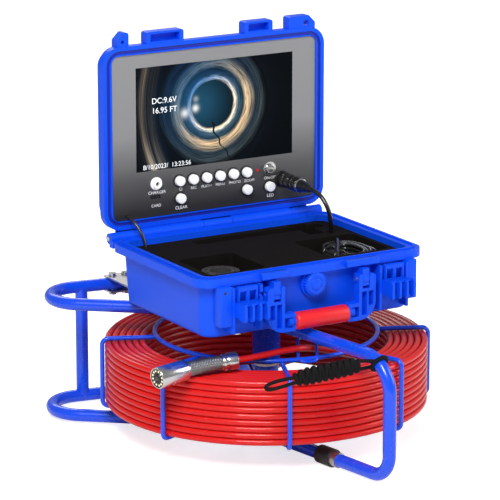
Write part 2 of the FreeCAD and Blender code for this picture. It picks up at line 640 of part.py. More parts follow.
panel = panel.cut(bar(power_at + out, power_at - out * (PANEL_T + 1), POWER_R + 0.2))
nodes["button_collars"] = Part.makeCompound(collars)

light_at = V(CASE_X + 54.0, panel_y, ROW_HIGH)
keep("indicator_light", bar(light_at + out * 0.8, light_at, 1.6))
jack_at = V(CASE_X - 75.0, panel_y, ROW_HIGH)
jack = ring(jack_at + out * 4.5, jack_at, BUTTON_R, 2.6).fuse(ring(jack_at + out * 1.2, jack_at, 7.1, BUTTON_R))
slot_z = ROW_LOW + 4.1
slot_frame = box(CASE_X - 82, CASE_X - 70, panel_y - 0.8, panel_y, slot_z - 2.2, slot_z + 2.2)
slot_cut = box(CASE_X - 81, CASE_X - 71, panel_y - 2, panel_y + PANEL_T + 1, slot_z - 0.7, slot_z + 0.7)
nodes["panel_ports"] = Part.makeCompound([jack, slot_frame.cut(slot_cut)])
panel = panel.cut(slot_cut)

PLUG_AT = V(PLUG_X, panel_y, panel_z0 + 23.3)
SOCKET_OUT = 11.0
socket = bar(PLUG_AT + out * 3, PLUG_AT, PLUG_R + 0.9).fuse(bar(PLUG_AT + out * SOCKET_OUT, PLUG_AT, PLUG_R - 2))
keep("cable_socket", socket)
plug_end = PLUG_AT + out * PLUG_L
plug = bar(PLUG_AT + out * SOCKET_OUT, PLUG_AT + out * (PLUG_L - 18), PLUG_R)
plug = plug.fuse(ring(PLUG_AT + out * 3.4, PLUG_AT + out * SOCKET_OUT, PLUG_R, PLUG_R - 2 + FIT))
plug = plug.fuse(Part.makeCone(PLUG_R - 1.5, SIGNAL_R + 1.5, 18, PLUG_AT + out * (PLUG_L - 18), out))
keep("cable_plug", plug)
keep("control_panel", panel)

# The two cables between the lid and the foam
SIGNAL = [plug_end, plug_end + V(0, -10.4, 0), plug_end + V(3.0, -21.4, -6.0), plug_end + V(6.0, -29.0, -18.0),
          plug_end + V(9.5, -28.0, -31.0), V(plug_end.x + 15.5, plug_end.y - 20.0, foam_top + 1.0),
          V(plug_end.x + 16, plug_end.y - 14.0, foam_top - 8.0)]
cord("cable_signal", SIGNAL, SIGNAL_R)
exit_at = V(panel_x0 + 16.4, panel_y, panel_z0 + 5)
POWER_LINE = [exit_at, exit_at + V(0, -8.0, 0), exit_at + V(1.5, -15.0, -3.5), exit_at + V(4.0, -21.0, -10.0),
              exit_at + V(6.2, -26.0, -18.0), exit_at + V(7.4, -29.0, -27.0), exit_at + V(7.6, -30.5, -37.0)]
cord("cable_power", POWER_LINE, POWER_CABLE_R)
for line, radius in ((SIGNAL, SIGNAL_R), (POWER_LINE, POWER_CABLE_R)):
    foam = foam.cut(bar(line[-1] - V(0, 0, 1), line[-1] + V(0, 0, 20), radius + 1.2))
foam = foam.cut(nodes["cable_signal"]).cut(nodes["cable_power"])
keep("case_foam", foam)

# ---------------------------------------------------------------- latches

HOOK_T = 3.0
LATCH_SWING = 65.0
HOOK_ARM = 8.0        # from the lever's pin to the hook's pin
HOOK_OUT = HOOK_ARM * math.cos(math.radians(LATCH_SWING / 2))
HOOK_UP = HOOK_ARM * math.sin(math.radians(LATCH_SWING / 2))
TONGUE_OUT = 27.5
TONGUE_RISE = 9.2
TONGUE_DROP = 9.5
CHEEK_T = 3.0
FIN_T = 2.6
hook_top = rim_bottom - 1.0
pins = [bar(V(left + 4, HINGE_Y, hinge_z), V(right - 4, HINGE_Y, hinge_z), HINGE_PIN_R)]


def profile(x0, x1, points):
    """A plate across X, from an outline of (Y, Z) offsets from the lever's pin."""
    outline = [V(x0, latch_pin_y + y, latch_pin_z + z) for y, z in points]
    return Part.Face(Part.makePolygon(outline + [outline[0]])).extrude(V(x1 - x0, 0, 0))


for side, x in zip(("left", "right"), LATCH_X):
    half = LATCH_W / 2
    pivot = V(x, latch_pin_y, latch_pin_z)
    reach = V(half + GAP + RIB_T, 0, 0)
    pins.append(bar(pivot - reach, pivot + reach, LATCH_PIN_R))
    hook_pivot = pivot + V(0, -HOOK_OUT, HOOK_UP)
    # the lever, swung open: two cheeks on the pin, and upright fins between a top plate and a web
    front_line = [(-22.5, TONGUE_RISE), (2 - TONGUE_OUT, TONGUE_RISE), (-TONGUE_OUT, TONGUE_RISE - 2),
                  (-TONGUE_OUT, 2 - TONGUE_DROP), (1.5 - TONGUE_OUT, -TONGUE_DROP), (-22.5, -TONGUE_DROP)]
    cheek_line = [(3.2, -3.2), (3.2, 3.2), (-1.5, 7.4), (-10, 8.0)] + front_line + [(-2, -5.5)]
    fin_line = [(-11, 8.0)] + front_line + [(-11, -5.0)]
    lever = profile(x - half, x - half + CHEEK_T, cheek_line)
    lever = lever.fuse(profile(x + half - CHEEK_T, x + half, cheek_line))
    for i in range(1, 3):
        at = x - half + CHEEK_T / 2 + (LATCH_W - CHEEK_T) / 3 * i
        lever = lever.fuse(profile(at - FIN_T / 2, at + FIN_T / 2, fin_line))
    lever = lever.fuse(profile(x - half, x + half, [(-11, 6.0), (-11, 8.0), (-22.5, TONGUE_RISE),
                                                    (-22.5, TONGUE_RISE - 2.2)]))
    lever = lever.fuse(profile(x - half, x + half, [(-11, 6.5), (-11, -5.0), (-12.8, -5.5), (-12.8, 6.5)]))
    lever = lever.cut(bar(pivot - reach * 2, pivot + reach * 2, LATCH_PIN_R + FIT))
    lever = lever.cut(bar(hook_pivot - reach * 2, hook_pivot + reach * 2, LATCH_PIN_R + FIT))
    keep("latch_%s_lever" % side, lever)
    # the hook: a plate with two windows and a lip that catches the lid's keeper
    inner = half - CHEEK_T - GAP
    y0 = hook_pivot.y - HOOK_T / 2
    y1 = hook_pivot.y + HOOK_T / 2
    hook = box(x - inner, x + inner, y0, y1, hook_pivot.z, hook_top)
    for window in (-1, 1):
        at = x + window * (inner / 2)
        hook = hook.cut(box(at - 4.0, at + 4.0, y0 - 5, y1 + 5, hook_pivot.z + 4, hook_top - 4.5))
    hook = hook.fuse(box(x - inner, x + inner, y0, y1 + 2.5, hook_top - 3, hook_top))
    hook = hook.fuse(bar(hook_pivot - V(inner, 0, 0), hook_pivot + V(inner, 0, 0), LATCH_PIN_R + 0.8))
    hook = hook.fuse(bar(hook_pivot - V(half - 0.1, 0, 0), hook_pivot + V(half - 0.1, 0, 0), LATCH_PIN_R))
    keep("latch_%s_hook" % side, hook)

# ---------------------------------------------------------------- handle and knob

grip_z = case_bottom + 11.7
grip_y = handle_y - 2.5
FRAME_BACK = handle_y + 4.5
FRAME_FRONT = handle_y - 6
frame_low = grip_z - 9.5
frame_high = handle_z + 6
LUG_CUT = 4.4
arms = []
for side in (-1, 1):
    at = CASE_X + side * HANDLE_HALF
    far = at + side * 12
    near = at - side * 9
    plate = box(min(far, near), max(far, near), FRAME_FRONT, FRAME_BACK, frame_low, frame_high)
    low_corner = [e for e in plate.Edges if abs(e.CenterOfMass.x - far) < 0.1
                  and abs(e.CenterOfMass.z - frame_low) < 0.1]
    plate = plate.makeFillet(HANDLE_R, low_corner)
    high_corner = [e for e in plate.Edges if abs(e.CenterOfMass.x - far) < 0.1
                   and abs(e.CenterOfMass.z - frame_high) < 0.1]
    plate = plate.makeFillet(5.0, high_corner)
    # the slot for the lug, open at the top, and two tall cells under the cross bar
    plate = plate.cut(box(at - LUG_CUT, at + LUG_CUT, FRAME_FRONT - 1, FRAME_BACK + 1, handle_z - 10, 300))
    cells = ((at - side * 5.5, at + side * 1.0, frame_low + 5), (at + side * 3.0, at + side * 9.0, frame_low + 15))
    for one, other, cell_low in cells:
        plate = plate.cut(box(min(one, other), max(one, other), FRAME_FRONT - 1, handle_y + 1,
                              cell_low, handle_z - 13))
    arms.append(plate)
    span = [at - side * (HANDLE_HALF - GRIP_HALF), near]
    arms.append(box(min(span), max(span), FRAME_FRONT, FRAME_BACK, frame_low, frame_low + 4))
    arms.append(box(min(span), max(span), FRAME_FRONT, FRAME_BACK, grip_z + 5.5, grip_z + 9.5))
    arms.append(box(min(span), max(span), handle_y + 1, FRAME_BACK, frame_low, grip_z + 9.5))
    span = [CASE_X + side * GRIP_HALF, CASE_X + side * (GRIP_HALF + 4)]
    arms.append(box(min(span), max(span), FRAME_FRONT, FRAME_BACK, frame_low, grip_z + 9.5))
core = bar(V(CASE_X - GRIP_HALF - 8, grip_y, grip_z), V(CASE_X + GRIP_HALF + 8, grip_y, grip_z), 5.0)
handle = core
for piece in arms:
    handle = handle.fuse(piece)
for side in (-1, 1):
    at = CASE_X + side * HANDLE_HALF
    handle = handle.cut(bar(V(at - 20, handle_y, handle_z), V(at + 20, handle_y, handle_z), HANDLE_PIN_R + FIT))
    pins.append(bar(V(at - 11, handle_y, handle_z), V(at + 11, handle_y, handle_z), HANDLE_PIN_R))
keep("handle_frame", handle)
grip = bar(V(CASE_X - GRIP_HALF, grip_y, grip_z), V(CASE_X + GRIP_HALF, grip_y, grip_z), GRIP_R)
keep("handle_grip", grip.cut(nodes["handle_frame"]))
nodes["case_pins"] = Part.makeCompound(pins)

knob_face = body_front - 10.0
knob = bar(V(CASE_X, knob_face, knob_z), V(CASE_X, body_front - 3.4, knob_z), KNOB_R)
knob = knob.fuse(bar(V(CASE_X, body_front - 4, knob_z), V(CASE_X, body_front + 2, knob_z), 4.0))
keep("pressure_knob", knob)

# ---------------------------------------------------------------- things kept in the foam

ring_z0 = foam_top - 22
puck = ring(V(RING_AT.x, RING_AT.y, ring_z0), V(RING_AT.x, RING_AT.y, ring_z0 + 14), 20.5, 11.5)
for k in range(8):
    spot = RING_AT + heading(45 * k) * 16.0
    puck = puck.cut(Part.makeCylinder(1.8, 40, V(spot.x, spot.y, ring_z0 - 5)))
keep("skid_ring", puck)
hank_z = foam_top - 30
HANK_W = 52.0
HANK_H = 24.0
hank_x0 = HANK[1] - HANK_W - 2
hank = soft_box(hank_x0, HANK[1] - 2, HANK[2] + 2, HANK[3] - 2, hank_z, hank_z + HANK_H, 7)
keep("cable_hank", hank.cut(box(hank_x0 + 18, HANK[1] - 20, HANK[2] + 20, HANK[3] - 20, hank_z - 1, hank_z + 40)))

# ---------------------------------------------------------------- carry strap

# Braided cord on the front post's upper bend: a ring round the tube, a yoke, a flat body and an eye
STRAP_TURN = math.radians(33.0)
STRAP_W = 17.0
STRAP_T = 8.0
CORD_R = 2.2
STRAP_LINE = [V(-27.0, -229.2, 132.0), V(-60.0, -221.5, 128.2), V(-92.7, -211.0, 122.3)]
ring_along = FRONT_POST_AT - POST_BEND_R + POST_BEND_R * math.sin(STRAP_TURN)
ring_height = TOP_Z - POST_BEND_R + POST_BEND_R * math.cos(STRAP_TURN)
ring_at = on_line(FRONT_LEG, ring_along, ring_height)
ring_axis = heading(FRONT_LEG[0]) * math.cos(STRAP_TURN) - V(0, 0, math.sin(STRAP_TURN))
ring_mid = TUBE_R + CORD_R - FIT
cord_ring = Part.makeTorus(ring_mid, CORD_R, ring_at, ring_axis)


def strap_section(centre, direction, width, thick):
    """A flat section across the strap, standing on edge."""
    side = direction.cross(V(0, 0, 1)).normalize() * (thick / 2)
    rise = side.cross(direction).normalize() * (width / 2)
    corner = [centre + side + rise, centre - side + rise, centre - side - rise, centre + side - rise]
    return Part.makePolygon(corner + [corner[0]])


run = (STRAP_LINE[2] - STRAP_LINE[0]).normalize()
sections = []
for centre, narrower in zip(STRAP_LINE, (3.0, 0.0, 3.0)):
    sections.append(strap_section(centre, run, STRAP_W - narrower, STRAP_T))
weave = Part.makeLoft(sections, True, True)
toward = STRAP_LINE[0] - ring_at
toward = (toward - ring_axis * toward.dot(ring_axis)).normalize()
across = ring_axis.cross(toward)
yoke = cord_ring.cut(nodes["frame_post_front"])
for side in (-1, 1):
    start = ring_at + (toward * math.cos(0.5) + across * math.sin(0.5 * side)) * ring_mid
    rise = 4.6 if across.z * side > 0 else -4.6
    yoke = yoke.fuse(bar(start, STRAP_LINE[0] + V(-2, 0, rise), CORD_R))
tip = STRAP_LINE[2]
eye_cord = bent_bar([tip + V(2, -1, 2.2), tip + V(-14, 7.2, -1.0), tip + V(-27, 14.5, -6.5),
                     tip + V(-25.5, 13.5, -11.8), tip + V(-10, 5.0, -7.2), tip + V(2, -1, -3.0)], CORD_R, 2.3)
keep("carry_strap", weave, yoke, eye_cord)

# ---------------------------------------------------------------- origin and export

CORD_NODES = ("rod_lead", "rod_coil", "rod_tail", "head_coupling", "head_spring", "head_body", "head_window",
              "cable_signal", "cable_power")
bounds = FreeCAD.BoundBox()
for name, shape in nodes.items():
    if name not in CORD_NODES:
        bounds.add(shape.optimalBoundingBox(False, False))
origin = V((bounds.XMin + bounds.XMax) / 2, (bounds.YMin + bounds.YMax) / 2, bounds.ZMin)
os.makedirs("parts", exist_ok=True)
for name, shape in nodes.items():
    moved = shape.copy()
    moved.translate(origin * -1)
    moved.exportStep("parts/" + name + ".step")
print("nodes", len(nodes), "origin", [round(c, 4) for c in origin])
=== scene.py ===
import json
import math

import bmesh
import bpy
import numpy as np
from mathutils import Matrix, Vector


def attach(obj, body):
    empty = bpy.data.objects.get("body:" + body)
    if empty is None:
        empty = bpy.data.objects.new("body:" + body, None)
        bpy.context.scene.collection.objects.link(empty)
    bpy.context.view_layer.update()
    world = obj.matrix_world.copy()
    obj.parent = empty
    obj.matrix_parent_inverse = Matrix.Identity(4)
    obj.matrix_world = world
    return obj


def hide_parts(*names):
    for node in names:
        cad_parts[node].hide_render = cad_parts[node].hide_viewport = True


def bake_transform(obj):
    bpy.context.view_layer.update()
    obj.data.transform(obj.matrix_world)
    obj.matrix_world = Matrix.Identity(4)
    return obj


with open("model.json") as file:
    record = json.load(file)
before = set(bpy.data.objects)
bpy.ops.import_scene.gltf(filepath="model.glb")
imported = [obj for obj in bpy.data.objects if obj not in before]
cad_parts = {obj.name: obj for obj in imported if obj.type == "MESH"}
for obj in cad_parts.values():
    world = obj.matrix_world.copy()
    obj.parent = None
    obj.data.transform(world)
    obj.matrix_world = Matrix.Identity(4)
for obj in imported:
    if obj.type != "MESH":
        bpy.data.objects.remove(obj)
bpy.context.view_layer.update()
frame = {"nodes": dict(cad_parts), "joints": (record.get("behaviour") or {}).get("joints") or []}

# Pipe inspection camera: a tube frame, a wire reel with its push rod and camera head, and an open
# case with a screen. Unless a name says otherwise, sizes are millimetres in the layout of the
# part's source, with the reel's axis at X = Y = 0 and the floor at Z = 0.
AXIS = np.array([j["pos_m"] for j in frame["joints"] if j["name"] == "reel_spin"][0]) * (1, 1, 0)


def at(points):
    """Metres in the model's own frame, from millimetres of the layout."""
    return np.asarray(points, float) * 0.001 + AXIS


# ------------------------------------------------------------ tools: objects and finishes
def linked(name, data):
    """A new object, put in the scene."""
    thing = bpy.data.objects.new(name, data)
    bpy.context.scene.collection.objects.link(thing)
    return thing


def aim(thing, place, target):
    """Puts a camera or a lamp at a place, both in metres, and points it at a target."""
    thing.location = place
    thing.rotation_euler = (Vector(target) - Vector(place)).to_track_quat("-Z", "Y").to_euler()


def look(name, colour, rough, metal=0.0, coat=0.0, mottle=0.08, grain=900.0, bump=0.1,
         depth=0.0002, rough_spread=0.06, stretch=(1, 1, 1), specular=0.5, glow=None):
    """A finish: the colour drifts slightly over the piece, the roughness with it, and fine grain
    lifts the surface. stretch draws the grain out along an axis, as brushing does. glow is a
    colour and a strength."""
    made = bpy.data.materials.new(name)
    made.use_nodes = True
    nodes = made.node_tree.nodes
    link = made.node_tree.links.new
    shader = nodes["Principled BSDF"]
    where = nodes.new("ShaderNodeTexCoord")
    place = nodes.new("ShaderNodeMapping")
    place.inputs["Scale"].default_value = stretch
    link(where.outputs["Object"], place.inputs["Vector"])
    broad = nodes.new("ShaderNodeTexNoise")
    broad.inputs["Scale"].default_value = 14.0
    broad.inputs["Detail"].default_value = 5.0
    link(where.outputs["Object"], broad.inputs["Vector"])
    fine = nodes.new("ShaderNodeTexNoise")
    fine.inputs["Scale"].default_value = grain
    fine.inputs["Detail"].default_value = 3.0
    link(place.outputs["Vector"], fine.inputs["Vector"])
    tint = nodes.new("ShaderNodeMix")
    tint.data_type = "RGBA"
    tint.inputs["A"].default_value = [*(c * (1 - mottle) for c in colour), 1]
    tint.inputs["B"].default_value = [*(min(c * (1 + mottle), 1) for c in colour), 1]
    link(broad.outputs["Fac"], tint.inputs["Factor"])
    link(tint.outputs["Result"], shader.inputs["Base Color"])
    dull = nodes.new("ShaderNodeMapRange")
    dull.inputs["To Min"].default_value = max(rough - rough_spread, 0.02)
    dull.inputs["To Max"].default_value = rough + rough_spread
    link(fine.outputs["Fac"], dull.inputs["Value"])
    link(dull.outputs["Result"], shader.inputs["Roughness"])
    lift = nodes.new("ShaderNodeBump")
    lift.inputs["Strength"].default_value = bump
    lift.inputs["Distance"].default_value = depth
    link(fine.outputs["Fac"], lift.inputs["Height"])
    link(lift.outputs["Normal"], shader.inputs["Normal"])
    shader.inputs["Metallic"].default_value = metal
    shader.inputs["Coat Weight"].default_value = coat
    shader.inputs["Specular IOR Level"].default_value = specular
    if glow:
        shader.inputs["Emission Color"].default_value = (*glow[0], 1)
        shader.inputs["Emission Strength"].default_value = glow[1]
    return made


def colour_ramp(tree, stops):
    """A colour ramp node; each stop is (place from 0 to 1, colour), in rising order."""
    ramp = tree.nodes.new("ShaderNodeValToRGB")
    marks = ramp.color_ramp.elements
    for i, (place, colour) in enumerate(stops):
        mark = marks[i] if i < 2 else marks.new(place)
        mark.position = place
        mark.color = (*colour, 1)
    return ramp


def wear(thing, body, material, stands_for=()):
    """Gives a piece its finish in a new slot and its body, and hides the nodes that it stands
    for.
    """
    thing.data.materials.append(material)
    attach(thing, body)
    if stands_for:
        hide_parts(*stands_for)
    return thing


def dress(material, *names):
    """A node whose shape is right keeps it and takes a better finish."""
    for name in names:
        node = frame["nodes"][name]
        if not node.material_slots:
            node.data.materials.append(material)
        for place in node.material_slots:
            place.material = material


# ------------------------------------------------------------ tools: shapes
def unit(v):
    v = np.asarray(v, float)
    return v / np.linalg.norm(v, axis=-1, keepdims=True)


def square_to(axis):
    """Two directions square to an axis and to each other, the second as upright as it can be."""
    axis = unit(axis)
    guide = np.array((0, 0, 1.0)) if abs(axis[2]) < 0.9 else np.array((0, 1.0, 0))
    side = unit(np.cross(axis, guide))
    return side, np.cross(side, axis)


def fuller(wave, power):
    """A cosine or sine drawn towards 1 and -1, the more so the smaller the power."""
    return np.sign(wave) * abs(wave) ** power


def cells(points, round_u=False, round_v=False):
    """Four-sided faces over a grid of points; the last row or column joins the first where it
    is round."""
    index = np.arange(points.shape[0] * points.shape[1]).reshape(points.shape[:2])
    if round_u:
        index = np.vstack([index, index[:1]])
    if round_v:
        index = np.hstack([index, index[:, :1]])
    faces = np.stack([index[:-1, :-1], index[1:, :-1], index[1:, 1:], index[:-1, 1:]], -1)
    return points.reshape(-1, 3), faces.reshape(-1, 4)


def piece(name, parts, sharp=35):
    """One mesh from several skins: doubles merged, faces outwards, and edges sharper than so
    many degrees kept sharp."""
    corners = []
    faces = []
    count = 0
    for points, quads in parts:
        corners.append(points)
        faces.append(quads + count)
        count += len(points)
    mesh = bpy.data.meshes.new(name)
    mesh.from_pydata(at(np.vstack(corners)).tolist(), [], np.vstack(faces).tolist())
    shape = bmesh.new()
    shape.from_mesh(mesh)
    bmesh.ops.remove_doubles(shape, verts=shape.verts, dist=1e-6)
    bmesh.ops.dissolve_degenerate(shape, dist=1e-7, edges=shape.edges)
    bmesh.ops.recalc_face_normals(shape, faces=shape.faces)
    shape.to_mesh(mesh)
    shape.free()
    mesh.shade_smooth()
    mesh.set_sharp_from_angle(angle=math.radians(sharp))
    return linked(name, mesh)


def turned(centre, axis, profile, steps=48, lean=0.0, flute=0.0, flutes=0):
    """A profile of (radius, height) spun about an axis through centre. lean tips each ring, in
    millimetres of height across the radius; flutes are waves in the radius."""
    profile = np.asarray(profile, float)
    angle = np.linspace(0, 2 * np.pi, steps, endpoint=False)
    side, rise = square_to(axis)
    spokes = np.cos(angle)[:, None] * side + np.sin(angle)[:, None] * rise
    radius = profile[:, :1] * (1 + flute * np.cos(flutes * angle))
    height = profile[:, 1:2] + np.asarray(lean).reshape(-1, 1) * np.sin(angle)
    rings = np.asarray(centre) + height[..., None] * unit(axis) + radius[..., None] * spokes
    return cells(rings, round_v=True)


def round_section(radius, steps):
    """A circle's points, as (side, rise)."""
    angle = np.linspace(0, 2 * np.pi, steps, endpoint=False)
    return radius * np.stack([np.cos(angle), np.sin(angle)], -1)


def carried(path, section, guide=(0, 0, 1), closed=False):
    """A section carried along a path: path + first number * side + second number * rise, where
    side and rise are square to the path's direction. A section may change along the path."""
    step = np.roll(path, -1, 0) - np.roll(path, 1, 0)
    if not closed:
        step[0] = path[1] - path[0]
        step[-1] = path[-1] - path[-2]
    side = unit(np.cross(unit(step), np.asarray(guide, float)))
    rise = unit(np.cross(side, unit(step)))
    section = np.broadcast_to(section, (len(path),) + np.shape(section)[-2:])
    return path[:, None] + section[..., :1] * side[:, None] + section[..., 1:] * rise[:, None]


def nurbs(name, points, radius, sides, detail):
    """A round cord on one smooth spline, whose control points are the route's points."""
    line = bpy.data.curves.new(name, "CURVE")
    line.dimensions = "3D"
    spline = line.splines.new("NURBS")
    spline.points.add(len(points) - 1)
    place = np.ones((len(points), 4))
    place[:, :3] = at(points)
    spline.points.foreach_set("co", place.ravel())
    spline.order_u = 3
    spline.use_endpoint_u = True
    spline.resolution_u = detail
    line.bevel_depth = radius * 0.001
    line.bevel_resolution = sides
    line.use_fill_caps = radius > 0
    return linked(name, line)


def rope(points, radius, sides=2, detail=4):
    """The open skin of a cord on the points' spline, as corners and four-sided faces. With no
    radius it is the spline itself, and has corners only."""
    line = nurbs("strand", points, radius, sides, detail)
    line.data.use_fill_caps = False
    run = bpy.data.meshes.new_from_object(line)
    corners = (np.array([v.co for v in run.vertices], float) - AXIS) * 1000
    faces = np.array([list(p.vertices) for p in run.polygons])
    bpy.data.objects.remove(line)
    bpy.data.meshes.remove(run)
    return corners, faces


def smooth_path(points):
    """The spline of a route's points, as a row of points."""
    return rope(points, 0.0, 0, 10)[0]


def moulded(name, blocks, round_off=0.7):
    """One moulding from blocks of (x0, x1, y0, y1, z0, z1), with their edges rounded."""
    shape = bmesh.new()
    for x0, x1, y0, y1, z0, z1 in blocks:
        made = bmesh.ops.create_cube(shape, size=1)
        for corner in made["verts"]:
            corner.co = at(np.array((x0 + x1, y0 + y1, z0 + z1)) / 2
                           + np.array(corner.co) * (x1 - x0, y1 - y0, z1 - z0))
    bmesh.ops.bevel(shape, geom=shape.edges[:], offset=round_off * 0.001, segments=3,
                    profile=0.5, affect="EDGES")
    mesh = bpy.data.meshes.new(name)
    shape.to_mesh(mesh)
    shape.free()
    mesh.shade_smooth()
    mesh.set_sharp_from_angle(angle=math.radians(40))
    return linked(name, mesh)


# ------------------------------------------------------------ camera, floor and light
# A long lens, in millimetres as its sensor is, from the front left and a little above; a white
# floor that runs out of view and glows for the camera alone; and three large soft lamps in a
# white room.
LENS = 223.5
SENSOR = 36
CAMERA_AT = (-1692.0, -2799.4, 1031.3)
CAMERA_AIM = (-25.25, -7.86, 205.4)
FLOOR_HALF_M = 25
FLOOR_DROP_M = 0.0003
FLOOR_GLOW = 0.70
# The white room's strength as a light, and as the camera sees it.
ROOM_LIGHT = 0.27
ROOM_SEEN = 1.0
LAMP_AIM_M = (0, 0, 0.2)
# Name, place and width in metres, watts.
LAMPS = (("key", (-1.3, -1.5, 2.0), 1.0, 66), ("side", (1.9, -0.9, 1.0), 1.2, 19),
         ("back", (0.4, 1.8, 1.6), 1.2, 14))

camera_data = bpy.data.cameras.new("camera")
camera_data.lens = LENS
camera_data.sensor_width = SENSOR
camera = linked("camera", camera_data)
aim(camera, at(CAMERA_AT), at(CAMERA_AIM))
bpy.context.scene.camera = camera
bpy.context.scene.view_settings.view_transform = "Standard"

floor_mesh = bpy.data.meshes.new("floor")
floor_mesh.from_pydata([(x * FLOOR_HALF_M, y * FLOOR_HALF_M, 0)
                        for x, y in ((-1, -1), (1, -1), (1, 1), (-1, 1))], [], [(0, 1, 2, 3)])
floor = linked("floor", floor_mesh)
floor.location = (0, 0, -FLOOR_DROP_M)
floor_look = bpy.data.materials.new("white floor")
floor_look.use_nodes = True
floor_tree = floor_look.node_tree
floor_shader = floor_tree.nodes["Principled BSDF"]
floor_shader.inputs["Base Color"].default_value = (0.93, 0.93, 0.93, 1)
floor_shader.inputs["Roughness"].default_value = 0.9
floor_shader.inputs["Specular IOR Level"].default_value = 0.1
floor_shader.inputs["Emission Color"].default_value = (1, 1, 1, 1)
floor_rays = floor_tree.nodes.new("ShaderNodeLightPath")
floor_glow = floor_tree.nodes.new("ShaderNodeMath")
floor_glow.operation = "MULTIPLY"
floor_glow.inputs[1].default_value = FLOOR_GLOW
floor_tree.links.new(floor_rays.outputs["Is Camera Ray"], floor_glow.inputs[0])
floor_tree.links.new(floor_glow.outputs["Value"], floor_shader.inputs["Emission Strength"])
floor_mesh.materials.append(floor_look)

world = bpy.data.worlds.new("white room")
world.use_nodes = True
bpy.context.scene.world = world
room = world.node_tree
sky = room.nodes["Background"]
sky.inputs["Color"].default_value = (1, 1, 1, 1)
rays = room.nodes.new("ShaderNodeLightPath")
strength = room.nodes.new("ShaderNodeMapRange")
strength.inputs["To Min"].default_value = ROOM_LIGHT
strength.inputs["To Max"].default_value = ROOM_SEEN
room.links.new(rays.outputs["Is Camera Ray"], strength.inputs["Value"])
room.links.new(strength.outputs["Result"], sky.inputs["Strength"])

for lamp_name, place, wide, watts in LAMPS:
    lamp_data = bpy.data.lights.new(lamp_name, "AREA")
    lamp_data.size = wide
    lamp_data.energy = watts
    aim(linked(lamp_name, lamp_data), place, LAMP_AIM_M)


# ------------------------------------------------------------ push rod
# About 59 m of red-jacketed 7 mm rod. It leaves a gland on the reel's tube, runs out under the
# winding, goes round it sixty times in six layers of ten rows, and climbs out through the guide
# eye to the camera head.
ROD_R = 3.5
ROWS = 10
LAYERS = 6
ROW_PITCH = 7.1
LAYER_PITCH = 7.5
FIRST_ROW_Z = 36.5
OUTER_LINE_R = 173.5
POINTS_PER_TURN = 16
SLIDE_PARTS = 6
COIL_START_DEG = 34.2
LEAD = [(14.5, 14.5, 29.2), (27, 30, 29.2), (44, 57.5, 29.2), (61, 83, 29.2), (76.3, 108, 29.2),
        (94.5, 118.9, 29.2), (115.4, 119.7, 30.4), (134.2, 110.5, 32.4), (148.2, 97.0, 34.6)]
HEAD_REAR = np.array((-97.4, -102.3, 116.0))
TAIL = [(67, 116, 37.2), (97.4, 84.6, 40.5), (117.2, 40.4, 48.5), (116, -4, 60), (97, -37, 73),
        (71.3, -64.2, 87), (36, -85, 101), (2, -99.5, 113.5), (-26.4, -113.1, 121.8),
        (-49.7, -111, 120.9), (-72.6, -107.7, 118), tuple(HEAD_REAR)]


def wound_rod():
    """The control points of the winding. A row is level for most of its turn, and in the last
    sixth it slides to the next row, or to the next layer at a layer's end. A spline of order 3
    runs inside its control points, so they are set out by as much."""
    sector = 2 * math.pi / POINTS_PER_TURN
    step = np.arange(1, ROWS * LAYERS * POINTS_PER_TURN - 2)
    turn = step // POINTS_PER_TURN
    part = (step % POINTS_PER_TURN) / POINTS_PER_TURN
    slide = np.clip((part - (SLIDE_PARTS - 1) / SLIDE_PARTS) * SLIDE_PARTS, 0, 1)
    layer = turn // ROWS
    row = turn % ROWS
    last = row == ROWS - 1
    climb = np.where(last, 0, slide)
    height = np.where(layer % 2 == 0, row + climb, ROWS - 1 - row - climb)
    inward = layer + np.where(last, slide, 0)
    radius = (OUTER_LINE_R - inward * LAYER_PITCH) / (0.75 + 0.25 * math.cos(sector))
    angle = np.radians(COIL_START_DEG) - step * 2 * math.pi / POINTS_PER_TURN
    return np.stack([radius * np.cos(angle), radius * np.sin(angle),
                     FIRST_ROW_Z + height * ROW_PITCH], -1)


rod = nurbs("push_rod", np.vstack([LEAD, wound_rod(), TAIL]), ROD_R, 4, 4)
rod_red = look("red rod jacket", (0.66, 0.009, 0.009), 0.34, coat=0.32, mottle=0.06, grain=120,
               bump=0.02, rough_spread=0.03, specular=0.2)
wear(rod, "reel", rod_red, ("rod_lead", "rod_coil", "rod_tail"))


# ------------------------------------------------------------ camera head
# A polished steel cap round a black face with a lens and twelve lamps, a knitted steel spring
# that bends round corners, and a turned coupling crimped on the rod's end.
HEAD_CAP = np.array((-156.8, -94.7, 112.2))
HEAD_FACE = np.array((-192.9, -100.5, 110.0))
COUPLING_L = 16.9
COUPLING = [(0, -0.6), (5.2, -0.6), (5.6, -0.2), (5.6, 0.3), (8.9, 0.3), (9.4, 0.8), (9.5, 1.3),
            (9.5, 10.2), (9.2, 10.6), (8.0, 10.7), (8.0, 13.4), (9.2, 13.5), (9.5, 13.9),
            (9.5, 15.9), (9.2, 16.4), (8.2, 16.5), (8.2, 18.5), (0, 18.5)]
COUPLING_LEAN = [0] * 8 + [1.6] * 5 + [0] * 5
SPRING_R = 7.55
SPRING_RIB = 0.34
SPRING_WIRES = 12
SPRING_TURNS = 14
SPRING_STEPS = 150
SPRING_ROUND = 96
LENS_R = 3.1
LENS_RISE = 0.75
LAMP_ROW_R = 7.7
LAMPS_A_SIDE = 6
LAMP_FIRST_DEG = 18
LAMP_APART_DEG = 28.8
LAMP_CHIP = [(0, 0), (1.15, 0), (1.15, 0.3), (0.95, 0.45), (0, 0.5)]

steel = look("bright turned steel", (0.66, 0.66, 0.65), 0.24, metal=1.0, mottle=0.05, grain=700,
             bump=0.06, stretch=(0.2, 1, 1))
black_gloss = look("satin black plastic", (0.012, 0.012, 0.013), 0.28, mottle=0.1, grain=800,
                   bump=0.06)

